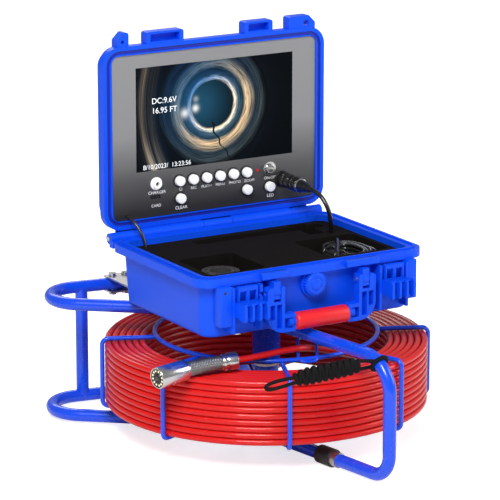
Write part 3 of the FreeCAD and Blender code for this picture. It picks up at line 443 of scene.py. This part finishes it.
along = unit(HEAD_REAR - np.array(TAIL[-2]))
coupling = piece("head_coupling_turned", [turned(HEAD_REAR, along, COUPLING, 64, COUPLING_LEAN)])
wear(coupling, "reel", steel, ("head_coupling",))


def knitted(steps, radius, strands, turns, rib):
    """A knitted sleeve's sections: two families of fine wires cross, and the radius follows the
    higher one."""
    run = np.linspace(0, 1, steps)[:, None] * turns * 2 * np.pi
    angle = np.linspace(0, 2 * np.pi, SPRING_ROUND, endpoint=False)[None]
    weave = np.maximum(np.cos(strands * angle + run), np.cos(strands * angle - run))
    swell = (radius + rib * weave)[..., None]
    return swell * np.stack([np.cos(angle), np.sin(angle)], -1)


spring_start = HEAD_REAR + along * COUPLING_L + along * 0.5
spring_mid = (spring_start + HEAD_CAP) / 2 + np.array((0, 0.6, 0.5))
t = np.linspace(0, 1, SPRING_STEPS)[:, None]
spring_path = (1 - t) ** 2 * spring_start + 2 * t * (1 - t) * spring_mid + t ** 2 * HEAD_CAP
spring_skin = carried(spring_path, knitted(SPRING_STEPS, SPRING_R, SPRING_WIRES, SPRING_TURNS,
                                           SPRING_RIB))
spring = piece("head_spring_knitted", [cells(spring_skin, round_v=True)], 80)
spring_look = look("dark knitted steel", (0.20, 0.205, 0.205), 0.36, metal=0.9, mottle=0.15,
                   grain=1500, bump=0.3)
wear(spring, "reel", spring_look, ("head_spring",))

face_dir = unit(HEAD_FACE - HEAD_CAP)
face_side, face_up = square_to(face_dir)
cap_l = np.linalg.norm(HEAD_FACE - HEAD_CAP)
cap_profile = [(0, -2.8), (8.3, -2.8), (8.9, -2.2), (9.0, -0.4), (10.8, 0), (11.3, 0.4),
               (11.5, 1.0), (11.5, 20.0), (11.35, 20.15), (11.35, 20.45), (11.5, 20.6),
               (11.5, cap_l - 1.0), (11.3, cap_l - 0.4), (10.9, cap_l), (10.3, cap_l),
               (10.0, cap_l - 0.3), (10.0, cap_l - 1.5), (0, cap_l - 1.5)]
cap = piece("head_cap_turned", [turned(HEAD_CAP, face_dir, cap_profile, 72)])
wear(cap, "reel", steel, ("head_body",))

window_profile = [(0, cap_l - 1.45), (9.95, cap_l - 1.45), (9.95, cap_l - 0.95),
                  (9.7, cap_l - 0.75), (5.3, cap_l - 0.75), (5.0, cap_l - 0.1),
                  (4.6, cap_l + 0.15), (4.1, cap_l + 0.05), (3.7, cap_l - 0.5),
                  (3.2, cap_l - 0.6), (0, cap_l - 0.6)]
window = piece("head_face_black", [turned(HEAD_CAP, face_dir, window_profile, 64)])
wear(window, "reel", black_gloss, ("head_window",))

dome = [(LENS_R * math.sin(a), cap_l - 0.62 + LENS_RISE * math.cos(a))
        for a in np.linspace(math.pi / 2, 0, 9)]
lens = piece("head_lens", [turned(HEAD_CAP, face_dir, dome, 40)])
lens_look = look("dark lens", (0.006, 0.012, 0.010), 0.04, coat=0.6, mottle=0.3, grain=40,
                 bump=0.0, rough_spread=0.02)
wear(lens, "reel", lens_look)

chips = []
for hand in (-1, 1):
    for k in range(LAMPS_A_SIDE):
        turn = math.radians(LAMP_FIRST_DEG + LAMP_APART_DEG * k) * hand
        spot_out = math.sin(turn) * face_side + math.cos(turn) * face_up
        spot = HEAD_CAP + face_dir * (cap_l - 0.8) + spot_out * LAMP_ROW_R
        chips.append(turned(spot, face_dir, LAMP_CHIP, 12))
lamps = piece("head_lamps", chips)
lamp_look = look("pale lamp chip", (0.88, 0.80, 0.50), 0.35, mottle=0.06, grain=900, bump=0.05,
                 glow=((1.0, 0.93, 0.62), 0.35))
wear(lamps, "reel", lamp_look)


# ------------------------------------------------------------ cables between lid and foam
# Two black rubber cables: the thick signal cable runs from its plug in the panel down into the
# foam, and the thin supply cable from the panel's corner.
SIGNAL_R = 2.5
SUPPLY_R = 1.75
CABLE_SIDES = 20
PLUG_END = np.array((75.5, 31.4, 253.0))
SIGNAL = PLUG_END + np.array([(0, 0, 0), (0, -10.4, 0), (3, -21.4, -6), (6, -29, -18),
                              (9.5, -28, -31), (15.5, -20, -46), (16, -14, -55)])
SUPPLY_END = np.array((-123.1, 91.4, 234.7))
SUPPLY = SUPPLY_END + np.array([(0, 0, 0), (0, -8, 0), (1.5, -15, -3.5), (4, -21, -10),
                                (6.2, -26, -18), (7.4, -29, -27), (7.6, -30.5, -37)])
cable_black = look("black cable rubber", (0.012, 0.012, 0.012), 0.26, coat=0.4, mottle=0.1,
                   grain=500, bump=0.05)


def end_cap(ring):
    """A ring drawn in to its middle, which closes a tube's end."""
    return ring.mean(1, keepdims=True).repeat(CABLE_SIDES, 1)


for cable_name, points, radius, node, length in (
        ("signal_cable", SIGNAL, SIGNAL_R, "cable_signal", 0.0785),
        ("supply_cable", SUPPLY, SUPPLY_R, "cable_power", 0.0542)):
    path = smooth_path(points)
    tube = carried(path, round_section(radius, CABLE_SIDES), (1, 0, 0.01))
    skin = np.concatenate([end_cap(tube[:1]), tube, end_cap(tube[-1:])])
    cable = piece(cable_name, [cells(skin, round_v=True)], 60)
    cable.data.materials.append(cable_black)
    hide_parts(node)
    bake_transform(cable)


# ------------------------------------------------------------ tube frame
# Bent and welded tube in a thick gloss powder coat; the hub's column, the reel's tube, its wire
# cage and its hoop have the same coat. A cap in that coat covers the set screw in the column,
# which the photo doesn't show.
HUB_SCREW_AT = (-7.23, -13.60, 112.0)
HUB_SCREW_OUT = (-0.4695, -0.8829, 0)
HUB_SCREW = [(4.75, -2.0), (4.75, 2.9), (4.3, 3.35), (0, 3.4)]
frame_blue = look("gloss blue powder coat", (0.004, 0.070, 0.78), 0.26, coat=0.5, mottle=0.06,
                  grain=160, bump=0.08, specular=0.35)
plate_steel = look("zinc plated strip", (0.60, 0.58, 0.56), 0.34, metal=1.0, mottle=0.12,
                   grain=120, bump=0.1)
rubber = look("black rubber", (0.016, 0.016, 0.017), 0.55, mottle=0.12, grain=700, bump=0.2)
dress(frame_blue, "frame_hairpin_top", "frame_hairpin_floor", "frame_front_top",
      "frame_front_floor", "frame_back_top", "frame_back_floor", "frame_post_front",
      "frame_post_back", "frame_strut", "hub_column", "reel_cage", "reel_hoop", "reel_tube")
dress(steel, "hub_axle", "thrust_washers", "frame_fasteners", "case_pins")
dress(plate_steel, "clamp_plates")
dress(rubber, "foot_wraps")
hub_screw = piece("hub_screw_painted", [turned(HUB_SCREW_AT, HUB_SCREW_OUT, HUB_SCREW, 32)])
wear(hub_screw, "frame", frame_blue)


# ------------------------------------------------------------ case
# A moulded case in nearly the same blue, with a fine satin grain, a dark blue seal in the lid
# whose darkness is partly painted shade of its groove, and a block of black foam in the base.
case_blue = look("satin blue moulding", (0.002, 0.078, 0.82), 0.38, mottle=0.05, grain=1400,
                 bump=0.10, specular=0.22)
# The seal's dark tone is partly its own colour and partly painted shade of the groove it lies in.
seal_blue_and_painted_shade = look("dark blue seal and painted groove shade", (0.004, 0.018, 0.34), 0.5, mottle=0.08, grain=900, bump=0.1)
foam_black = look("black foam", (0.0075, 0.0060, 0.0052), 0.95, mottle=0.15, grain=1600,
                  bump=0.5, depth=0.0004, specular=0.08)
dress(case_blue, "case_base", "case_lid", "latch_left_lever", "latch_left_hook",
      "latch_right_lever", "latch_right_hook", "handle_frame")
dress(seal_blue_and_painted_shade, "case_gasket")
dress(foam_black, "case_foam")

# Trim on the case's front: a lintel over each of the handle's pivots, a block at the outer side
# of each latch, and a tray under each latch.
FRONT_TRIM = [(-80.7, -49.2, -126.9, -118, 205.4, 212), (24.0, 64.8, -126.9, -118, 205.4, 212),
              (-131, -117.3, -126.4, -112, 161, 203.5), (101.4, 112, -126.4, -112, 161, 203.5),
              (-114, -84, -115.8, -110, 155, 168), (68, 98, -115.8, -110, 155, 168)]
wear(moulded("case_front_trim", FRONT_TRIM), "frame", case_blue)

# Barrels on the case that the handle's pivots run in, and a thin black disc on the left block:
# painted shade for a small hole.
PIVOT_X = (-65.5, 44.5)
PIVOT_BARREL = [(0, -4.2), (5.6, -4.2), (6.1, -3.8), (6.1, 3.8), (5.6, 4.2), (0, 4.2)]
HOLE_SHADE_DISC = [(0, -0.1), (1.1, -0.1), (1.3, 0.1), (1.5, 0.1), (1.6, -0.3)]
barrels = piece("handle_pivot_barrels", [turned((x, -125.9, 191.3), (1, 0, 0), PIVOT_BARREL, 40)
                                         for x in PIVOT_X])
wear(barrels, "frame", case_blue)
painted_hole_shade = piece("case_painted_hole_shade", [turned((-125.6, -126.55, 197.6), (0, -1, 0),
                                              HOLE_SHADE_DISC, 20)])
wear(painted_hole_shade, "frame", black_gloss)


# ------------------------------------------------------------ things in the foam
# The dark drilled ring keeps its own shape. The spare cable is wound in an oval bundle with two
# ties, and one loose turn of it stands up beside the bundle.
ring_grey = look("dark ring plastic", (0.05, 0.048, 0.05), 0.30, coat=0.3, mottle=0.1,
                 grain=700, bump=0.08)
dress(ring_grey, "skid_ring")

HANK_MID = np.array((80.5, -41.4, 178.0))
HANK_HALF = np.array((25.0, 35.5))
HANK_SEED = 7
HANK_LAYERS = 6
HANK_LANES = 4
HANK_LAYER_PITCH = 3.9
HANK_LANE_PITCH = 3.7
HANK_OVAL = 0.75
SPARE_R = 1.9
TIE_R = 1.5
TIES_Y = (-52.0, -30.0)
LOOSE_TURN = [(84, -4, 190), (86, -6, 202), (79, -20, 207.5), (62, -47, 208.5), (50, -66, 206),
              (45.5, -73, 199), (44.5, -74, 186)]

chance = np.random.default_rng(HANK_SEED)
turn = np.linspace(0, 2 * np.pi, 72, endpoint=False)
bundle = []
for layer in range(HANK_LAYERS):
    for lane in range(HANK_LANES):
        inward = SPARE_R + HANK_LANE_PITCH * lane + 0.8 * (layer % 2)
        wander = (0.9 * np.sin(turn * 2 + chance.uniform(0, 6))
                  + 0.5 * np.sin(turn * 3 + chance.uniform(0, 6)))
        across = (HANK_HALF[0] - inward + wander * 0.6) * fuller(np.cos(turn), HANK_OVAL)
        ahead = (HANK_HALF[1] - inward + wander) * fuller(np.sin(turn), HANK_OVAL)
        up = (SPARE_R + HANK_LAYER_PITCH * layer + 0.6 * np.sin(turn * 2 + chance.uniform(0, 6))
              + 1.2 * np.cos(turn))
        loop = HANK_MID + np.stack([across, ahead, up], -1)
        bundle.append(cells(carried(loop, round_section(SPARE_R, 10), closed=True), True, True))
for y in TIES_Y:
    bundle.append(rope([(71, y, 176.5), (71, y + 1, 201), (63, y + 2, 202.5), (55.2, y + 1, 200),
                        (55.0, y, 188), (55.4, y - 1, 176.5)], TIE_R))
bundle.append(rope(LOOSE_TURN, SPARE_R))
hank = piece("cable_hank_wound", bundle, 80)
wear(hank, "frame", cable_black, ("cable_hank",))


# ------------------------------------------------------------ pressure knob
# A moulded knob with a ribbed edge and a domed button in its face.
KNOB_AT = np.array((-10.5, -120.9, 190.6))
KNOB_OUT = np.array((0, -1.0, 0))
KNOB_FACE = [(0, -6.4), (11.4, -6.4), (11.4, -0.9), (10.9, -0.3), (10.0, 0), (7.4, 0),
             (7.0, -0.5), (6.6, -0.6), (6.2, -0.1), (5.0, 0.35), (2.5, 0.6), (0, 0.65)]
KNOB_EDGE = [(10.2, -6.2), (12.8, -6.2), (13.1, -5.8), (13.1, -2.2), (12.5, -1.3), (10.8, -0.7)]
knob = piece("pressure_knob_turned", [turned(KNOB_AT, KNOB_OUT, KNOB_FACE, 144),
                                      turned(KNOB_AT, KNOB_OUT, KNOB_EDGE, 224, flute=0.055,
                                             flutes=28)])
wear(knob, "knob", case_blue, ("pressure_knob",))


# ------------------------------------------------------------ handle grip
# A soft red rubber grip moulded on the handle's bar.
GRIP_START = np.array((-43.0, -128.4, 157.0))
GRIP = [(0, 0), (6.5, 0), (8.2, 0.5), (9.1, 1.5), (9.5, 3.2), (9.5, 61.8), (9.1, 63.5),
        (8.2, 64.5), (6.5, 65), (0, 65)]
grip = piece("handle_grip_moulded", [turned(GRIP_START, (1, 0, 0), GRIP, 64)], 50)
grip_red = look("red grip rubber", (0.76, 0.010, 0.016), 0.40, mottle=0.05, grain=1000, bump=0.1)
wear(grip, "handle", grip_red, ("handle_grip",))


# ------------------------------------------------------------ control panel
# A printed plastic panel, mid grey at the top and nearly black at its lower edge, with white
# button caps in black collars (their faint glow is painted light), a steel power switch and a red
# lamp.
PANEL_FRONT = 91.4
HIGH_ROW = 266.5
LOW_ROW = 246.7
FADE_HEIGHTS_M = (0.232, 0.412)
FADE = [(0.02, (0.022, 0.022, 0.023)), (0.22, (0.085, 0.085, 0.088)),
        (0.50, (0.245, 0.247, 0.254))]
UPPER_CAPS = 6
UPPER_CAP_X = -56.9
UPPER_CAP_PITCH = 17.1
LOWER_CAPS_X = (-55.8, 29.0, 58.5)
CAP = [(0, 3.2), (5.2, 3.2), (5.5, 2.9), (5.5, -5.0), (5.42, -5.4), (5.2, -5.7), (4.8, -5.86),
       (3.4, -6.02), (1.8, -6.1), (0, -6.12)]
POWER_AT = (58.5, PANEL_FRONT, HIGH_ROW)
POWER = [(0, 3.2), (5.5, 3.2), (5.8, 3.0), (5.8, -4.0), (5.6, -4.4), (5.1, -4.6), (4.3, -4.6),
         (4.1, -4.2), (3.6, -4.1), (3.3, -4.5), (1.6, -4.7), (0, -4.75)]

panel_grey = look("graphite panel", (0.26, 0.262, 0.27), 0.42, mottle=0.02, grain=1800,
                  bump=0.04)
shade = panel_grey.node_tree
apart = shade.nodes.new("ShaderNodeSeparateXYZ")
spread = shade.nodes.new("ShaderNodeMapRange")
spread.inputs["From Min"].default_value = FADE_HEIGHTS_M[0]
spread.inputs["From Max"].default_value = FADE_HEIGHTS_M[1]
fade = colour_ramp(shade, FADE)
shade.links.new(shade.nodes["Texture Coordinate"].outputs["Object"], apart.inputs["Vector"])
shade.links.new(apart.outputs["Z"], spread.inputs["Value"])
shade.links.new(spread.outputs["Result"], fade.inputs["Fac"])
shade.links.new(fade.outputs["Color"], shade.nodes["Principled BSDF"].inputs["Base Color"])
dress(panel_grey, "control_panel")
dress(black_gloss, "button_collars")

# The caps' finish glows a little, though they are no lamps: painted light.
white_cap_painted_glow = look("white button plastic, painted glow", (0.90, 0.905, 0.91), 0.30, coat=0.2, mottle=0.02,
                 grain=900, bump=0.04, glow=((1, 1, 1), 0.16))
caps = [("button_upper_%d" % (i + 1), UPPER_CAP_X + UPPER_CAP_PITCH * i, HIGH_ROW)
        for i in range(UPPER_CAPS)]
caps += [("button_lower_%d" % (i + 1), x, LOW_ROW) for i, x in enumerate(LOWER_CAPS_X)]
for node, x, z in caps:
    cap_top = piece(node + "_cap", [turned((x, PANEL_FRONT, z), (0, 1, 0), CAP, 40)])
    wear(cap_top, node + "_push", white_cap_painted_glow, (node,))
power_cap = piece("power_button_turned", [turned(POWER_AT, (0, 1, 0), POWER, 40)])
wear(power_cap, "power_push", steel, ("power_button",))
dress(steel, "power_bezel")
lamp_red = look("red lamp", (0.75, 0.01, 0.02), 0.2, coat=0.5, mottle=0.05, grain=200, bump=0.0)
dress(lamp_red, "indicator_light")

# Sockets: a white charging jack with its pin, in the caps' finish with its painted glow, and a
# card slot in a thin frame of four strips.
TO_FRONT = (0, -1, 0)
JACK_AT = (-85.5, PANEL_FRONT, HIGH_ROW)
JACK = [(2.4, -2), (2.4, 4.2), (2.7, 4.5), (4.9, 4.5), (5.4, 4.0), (5.5, 1.3), (6.9, 1.2),
        (7.1, 0.9), (7.1, 0)]
JACK_CORE = [(0, 3.6), (0.7, 3.5), (0.9, 3.0), (0.9, 0.4), (2.45, 0.4), (2.45, 3.9)]
CARD_FRAME = [(-92.5, -80.5, 90.9, 93, 250.1, 251.3), (-92.5, -80.5, 90.9, 93, 252.4, 253.6),
              (-92.5, -91.4, 90.9, 93, 250.1, 253.6), (-81.6, -80.5, 90.9, 93, 250.1, 253.6)]
jack = piece("charger_jack", [turned(JACK_AT, TO_FRONT, JACK, 48)])
wear(jack, "lid", white_cap_painted_glow, ("panel_ports",))
jack_core = piece("charger_jack_core", [turned(JACK_AT, TO_FRONT, JACK_CORE, 24)])
wear(jack_core, "lid", black_gloss)
wear(moulded("card_slot_frame", CARD_FRAME, 0.25), "lid", black_gloss)

# The signal cable's screw plug: a fluted nut, a smooth barrel, a steel collar and a tapered boot.
PLUG_AT = (75.5, PANEL_FRONT, 253.0)
SOCKET = [(0, 0), (9.4, 0), (9.4, 2.2), (8.9, 2.9), (6.4, 3.0), (6.4, 11)]
PLUG_NUT = [(6.5, 3.4), (8.1, 3.4), (8.3, 3.8), (8.3, 13.6), (8.0, 14.2), (7.2, 14.3)]
PLUG_BARREL = [(7.2, 14.2), (7.2, 15.4), (8.1, 15.8), (8.45, 16.6), (8.45, 25.5), (8.2, 26.2),
               (7.6, 26.4), (7.6, 27.6), (8.2, 27.8), (8.45, 28.4), (8.45, 37.5), (8.1, 38.2),
               (7.3, 38.4)]
PLUG_BOOT = [(7.2, 41.2), (7.0, 42), (5.4, 52), (4.4, 57), (4.0, 59.6), (2.4, 60)]
PLUG_COLLAR = [(7.2, 38.3), (8.0, 38.5), (8.2, 39.0), (8.2, 40.6), (8.0, 41.1), (7.1, 41.3)]
socket = piece("signal_socket", [turned(PLUG_AT, TO_FRONT, SOCKET, 56)])
wear(socket, "lid", black_gloss, ("cable_socket",))
plug_body = piece("signal_plug", [turned(PLUG_AT, TO_FRONT, PLUG_NUT, 144, flute=0.02, flutes=24),
                                  turned(PLUG_AT, TO_FRONT, PLUG_BARREL, 56),
                                  turned(PLUG_AT, TO_FRONT, PLUG_BOOT, 40)])
wear(plug_body, "lid", black_gloss, ("cable_plug",))
plug_collar = piece("signal_plug_collar", [turned(PLUG_AT, TO_FRONT, PLUG_COLLAR, 56)])
wear(plug_collar, "lid", steel)


# ------------------------------------------------------------ printing
# White printed words under the controls, which glow a little as painted light, and the words that
# the display shows: the battery's voltage, the rod's length and the clock. Each is (text, x, z,
# height of a capital, centred), and CAPITAL is a capital's height as a share of the typeface's
# size.
CAPITAL = 0.72
UNDER_HIGH = HIGH_ROW - 11.6
UNDER_LOW = LOW_ROW - 12.4
PRINTING = [("CHARGER", -84.5, UNDER_HIGH, 3.5, True), ("O", -54.6, UNDER_HIGH, 3.7, True),
            ("REC", -38.0, UNDER_HIGH, 3.1, True), ("PLAY/+", -21.6, UNDER_HIGH, 3.1, True),
            ("MENU", -4.2, UNDER_HIGH, 3.1, True), ("PHOTO", 14.4, UNDER_HIGH, 3.1, True),
            ("ZOOM", 33.0, UNDER_HIGH, 3.1, True), ("ON/OFF", 60.4, UNDER_HIGH, 3.2, True),
            ("CARD", -85.6, UNDER_LOW + 6, 3.2, True), ("CLEAR", -54.0, UNDER_LOW, 3.7, True),
            ("LED", 60.4, UNDER_LOW, 3.7, True)]
READOUT = [("DC:9.6V", -90.3, 355.4, 6.4, False), ("16.95 FT", -90.3, 344.6, 6.4, False),
           ("8/10/2023/  13:23:56", -101.6, 283.2, 5.2, False)]


def lettering(name, words, proud):
    """Words as one flat mesh, proud of the panel's face by so much."""
    corners = []
    faces = []
    for text, x, z, tall, centred in words:
        font = bpy.data.curves.new(name, "FONT")
        font.body = text
        font.size = tall / CAPITAL
        font.align_x = "CENTER" if centred else "LEFT"
        written = linked(name, font)
        flat = bpy.data.meshes.new_from_object(written)
        start = len(corners)
        corners += [(x + v.co.x, PANEL_FRONT - proud, z + v.co.y) for v in flat.vertices]
        faces += [[start + i for i in p.vertices] for p in flat.polygons]
        bpy.data.objects.remove(written)
        bpy.data.meshes.remove(flat)
    mesh = bpy.data.meshes.new(name)
    mesh.from_pydata(at(corners).tolist(), [], faces)
    return linked(name, mesh)


# The printed words glow a little, though they are no lamp: painted light.
print_white_painted_glow = look("white panel print, painted glow", (0.75, 0.76, 0.77), 0.5, mottle=0.05, grain=2500,
                   bump=0.05, glow=((0.9, 0.92, 0.95), 0.3))
wear(lettering("panel_printing", PRINTING, 0.06), "lid", print_white_painted_glow)
read_look = look("display white", (0.8, 0.82, 0.84), 0.4, mottle=0.02, grain=2000, bump=0.0,
                 glow=((0.9, 0.94, 1.0), 0.5))
wear(lettering("display_readout", READOUT, 0.08), "lid", read_look)


# ------------------------------------------------------------ display
# A backlit picture of the inside of a round pipe, computed from the place on the glass: rings
# about the pipe's middle with streaks drawn out along them, the edge of a nearer pipe at the
# left, a bluish glow, three bright spots and a crack in the lower wall.
PIPE_MID = (-14.0, 348.0)
NEAR_MID = (68.0, 352.0)
NEAR_EDGE_X = -62.0
PIPE_REACH = 130.0
NEAR_REACH = 200.0
# Distance from the middle, and colour.
PIPE_RINGS = [(0, (0.006, 0.009, 0.014)), (26.0, (0.008, 0.014, 0.022)),
              (27.2, (0.30, 0.27, 0.22)), (29.5, (0.46, 0.44, 0.40)), (33.0, (0.10, 0.14, 0.17)),
              (39.0, (0.04, 0.075, 0.10)), (43.5, (0.36, 0.31, 0.24)), (49.0, (0.26, 0.24, 0.20)),
              (55.0, (0.05, 0.07, 0.09)), (63.0, (0.08, 0.10, 0.11)),
              (69.5, (0.008, 0.011, 0.016)), (71.5, (0.016, 0.022, 0.032)),
              (92.0, (0.006, 0.009, 0.014)), (130.0, (0.002, 0.003, 0.005))]
NEAR_RINGS = [(0, (0, 0, 0)), (146.0, (0.0, 0.0, 0.0)), (152.0, (0.03, 0.045, 0.055)),
              (160.0, (0.30, 0.27, 0.22)), (165.0, (0.10, 0.11, 0.11)),
              (171.0, (0.50, 0.43, 0.33)), (177.0, (0.14, 0.13, 0.12)),
              (186.0, (0.02, 0.02, 0.02))]
PICTURE_GAIN = (1.9, 2.0, 2.3)
GLOW_BLUE = (0.02, 0.13, 0.24)
SPOT_WHITE = (0.95, 0.93, 0.86)
# Middle's x and z, spread, strength, colour.
HALOS = [(-30.0, 350.0, 900, 0.6, GLOW_BLUE), (-35.5, 345.2, 14.0, 1.0, SPOT_WHITE),
         (-49.0, 341.0, 22.0, 0.85, SPOT_WHITE), (-35.0, 355.5, 9.0, 0.35, SPOT_WHITE)]
CRACK_TOP = 327.5
CRACK_X = -14.2
CRACK_COLOUR = (0.004, 0.005, 0.007)

display = look("display glass", (0.004, 0.005, 0.006), 0.16, mottle=0.0, grain=300, bump=0.0,
               specular=0.0)
tree = display.node_tree


def calc(operation, *values):
    """One step of the display's formula; a value is a number or an earlier step's result."""
    step = tree.nodes.new("ShaderNodeMath")
    step.operation = operation
    for place, value in zip(step.inputs, values):
        if isinstance(value, (int, float)):
            place.default_value = value
        else:
            tree.links.new(value, place)
    return step.outputs["Value"]


def plus(a, b):
    return calc("ADD", a, b)


def minus(a, b):
    return calc("SUBTRACT", a, b)


def times(a, b):
    return calc("MULTIPLY", a, b)


def polar(middle):
    """Distance from a point of the display, and the direction's cosine and sine."""
    dx = minus(px, middle[0])
    dz = minus(pz, middle[1])
    far = calc("SQRT", plus(times(dx, dx), times(dz, dz)))
    far = calc("MAXIMUM", far, 0.01)
    return far, calc("DIVIDE", dx, far), calc("DIVIDE", dz, far)


def streaks(far, cosine, sine, fine, along_ring):
    """Noise drawn out along rings: quick along the radius, slow round the ring."""
    spot = tree.nodes.new("ShaderNodeCombineXYZ")
    tree.links.new(times(far, fine), spot.inputs["X"])
    tree.links.new(times(cosine, along_ring), spot.inputs["Y"])
    tree.links.new(times(sine, along_ring), spot.inputs["Z"])
    noise = tree.nodes.new("ShaderNodeTexNoise")
    noise.inputs["Scale"].default_value = 1.0
    noise.inputs["Detail"].default_value = 7.0
    noise.inputs["Roughness"].default_value = 0.62
    tree.links.new(spot.outputs["Vector"], noise.inputs["Vector"])
    return noise.outputs["Fac"]


def bands(far, reach, rings):
    """Colour by distance: rings are (distance, colour)."""
    ramp = colour_ramp(tree, [(place / reach, colour) for place, colour in rings])
    tree.links.new(calc("DIVIDE", far, reach), ramp.inputs["Fac"])
    return ramp.outputs["Color"]


def blend(kind, amount, one, other):
    """Two colours mixed; each of the three is a number, a colour or an earlier step's result."""
    mixed = tree.nodes.new("ShaderNodeMix")
    mixed.data_type = "RGBA"
    mixed.blend_type = kind
    for place, value in (("Factor", amount), ("A", one), ("B", other)):
        if isinstance(value, (int, float)):
            mixed.inputs[place].default_value = value
        elif isinstance(value, tuple):
            mixed.inputs[place].default_value = (*value, 1)
        else:
            tree.links.new(value, mixed.inputs[place])
    return mixed.outputs["Result"]


def tinted(colours, amount, low, high):
    """Colours multiplied by a mix of a low and a high tint."""
    return blend("MULTIPLY", 1.0, colours, blend("MIX", amount, low, high))


split = tree.nodes.new("ShaderNodeSeparateXYZ")
tree.links.new(tree.nodes["Texture Coordinate"].outputs["Object"], split.inputs["Vector"])
px = minus(times(split.outputs["X"], 1000.0), float(AXIS[0]) * 1000)
pz = times(split.outputs["Z"], 1000.0)

far, cosine, sine = polar(PIPE_MID)
ripple = streaks(far, cosine, sine, 0.30, 1.5)
pipe = bands(plus(far, times(minus(ripple, 0.5), 5.0)), PIPE_REACH, PIPE_RINGS)
line_light = times(calc("POWER", streaks(far, cosine, sine, 1.1, 2.2), 2.6), 5.2)
warm_side = plus(0.62, times(minus(cosine, sine), 0.42))
pipe = tinted(pipe, line_light, (0.25, 0.27, 0.30), (1.9, 1.8, 1.7))
pipe = tinted(pipe, warm_side, (0.30, 0.50, 0.80), (1.15, 1.12, 1.06))

far, cosine, sine = polar(NEAR_MID)
near_light = times(calc("POWER", streaks(far, cosine, sine, 0.5, 1.4), 2.2), 3.4)
lower = calc("SMOOTH_MAX", times(sine, -1.6), 0.30, 0.1)
near = tinted(bands(far, NEAR_REACH, NEAR_RINGS), times(near_light, lower), (0.1, 0.1, 0.1),
              (1.6, 1.6, 1.6))
picture = blend("ADD", calc("GREATER_THAN", NEAR_EDGE_X, px), pipe, near)
picture = blend("MULTIPLY", 1.0, blend("MULTIPLY", 1.0, picture, picture), PICTURE_GAIN)

for x, z, spread, strength, colour in HALOS:
    far = polar((x, z))[0]
    halo = calc("EXPONENT", times(times(far, far), -1 / spread))
    picture = blend("ADD", times(halo, strength), picture, colour)

drop = minus(CRACK_TOP, pz)
crack_x = plus(times(calc("POWER", calc("MAXIMUM", drop, 0.0), 1.5), 0.084), CRACK_X)
crack_x = plus(crack_x, times(calc("SINE", times(drop, 0.42)), 1.5))
crack = calc("LESS_THAN", calc("ABSOLUTE", minus(px, crack_x)), minus(1.35, times(drop, 0.017)))
crack = times(crack, calc("GREATER_THAN", drop, 0.0))
picture = blend("MIX", crack, picture, CRACK_COLOUR)

screen_shader = tree.nodes["Principled BSDF"]
tree.links.new(picture, screen_shader.inputs["Emission Color"])
screen_shader.inputs["Emission Strength"].default_value = 1.0
dress(display, "screen_glass")


# ------------------------------------------------------------ carry strap
# Black nylon cord. Two cords are wound from side to side round a core of two, into a flat
# strap; a loop of cord stands out at the tip, and a ring of it goes round the frame's post.
STRAP_LINE = [(-27.0, -229.2, 132.0), (-60.0, -221.5, 128.2), (-92.7, -211.0, 122.3)]
STRAP_POINTS = 224
STRAP_WIDE = 7.4
STRAP_THICK = 2.9
STRAP_KNOTS = 10
STRAP_CORD_R = 2.6
CORE_R = 2.0
CORE_SHIFT = 2.2
TIP_LOOP = [(8, -2.6, 2.2), (2, -1, 2.2), (-14, 7.2, -1), (-24, 13.0, -5.0), (-27.5, 15.0, -9.0),
            (-24, 12.5, -11.8), (-10, 5, -7.2), (2, -1, -3), (8, -2.6, -3)]
TIP_LOOP_R = 1.9
RING_MID = np.array((-2.83, -230.2, 130.17))
RING_AXIS = (0.1152, -0.8307, -0.5446)
RING_R = 9.15
RING_CORD_R = 2.15
strap_black = look("black nylon cord", (0.005, 0.005, 0.0055), 0.7, mottle=0.25, grain=1600,
                   bump=0.6, depth=0.0004, specular=0.15)
strap_mid = smooth_path(STRAP_LINE)
strap_run = np.stack([np.interp(np.linspace(0, 1, STRAP_POINTS),
                                np.linspace(0, 1, len(strap_mid)), strap_mid[:, k])
                      for k in range(3)], -1)


def knotted(path, wide, thick, knots, hand):
    """A cord that winds round the core: side to side by wide and front to back by thick, with
    the turns bunched at the edges and drawn in at both ends. hand is the winding's direction."""
    wind = np.linspace(0, 1, len(path)) * knots * 2 * np.pi
    section = np.stack([hand * thick * np.sin(wind), wide * fuller(np.cos(wind), 0.7)],
                       -1)[:, None, :]
    section *= (1 - 0.45 * abs(np.linspace(-1, 1, len(path))) ** 6)[:, None, None]
    return carried(path, section)[:, 0]


weave = [rope(knotted(strap_run, STRAP_WIDE, STRAP_THICK, STRAP_KNOTS, hand), STRAP_CORD_R)
         for hand in (1, -1)]
weave += [rope(strap_run[::8] + (0, 0, shift), CORE_R) for shift in (-CORE_SHIFT, CORE_SHIFT)]
weave.append(rope(np.array(STRAP_LINE[2]) + TIP_LOOP, TIP_LOOP_R, 3, 8))

ring_side, ring_up = square_to(RING_AXIS)
ring_turn = np.linspace(0, 2 * np.pi, 40, endpoint=False)[:, None]
ring_line = RING_MID + RING_R * (np.cos(ring_turn) * ring_side + np.sin(ring_turn) * ring_up)
ring_skin = carried(ring_line, round_section(RING_CORD_R, 12), unit(RING_AXIS), closed=True)
weave.append(cells(ring_skin, True, True))

# Two short cords join the ring to the core.
toward = unit(np.array(STRAP_LINE[0]) - RING_MID)
across = unit(np.cross(RING_AXIS, toward))
for sign in (-1, 1):
    begin = RING_MID + (toward * 0.88 + across * 0.48 * sign) * RING_R
    end = np.array(STRAP_LINE[0]) + (-2, 0, 4.6 * (1 if across[2] * sign > 0 else -1))
    weave.append(rope([begin, begin * 0.6 + end * 0.4 + (0, 0, 0.4), end], CORE_R))
wear(piece("carry_strap_knotted", weave, 80), "frame", strap_black,
     ("carry_strap",))
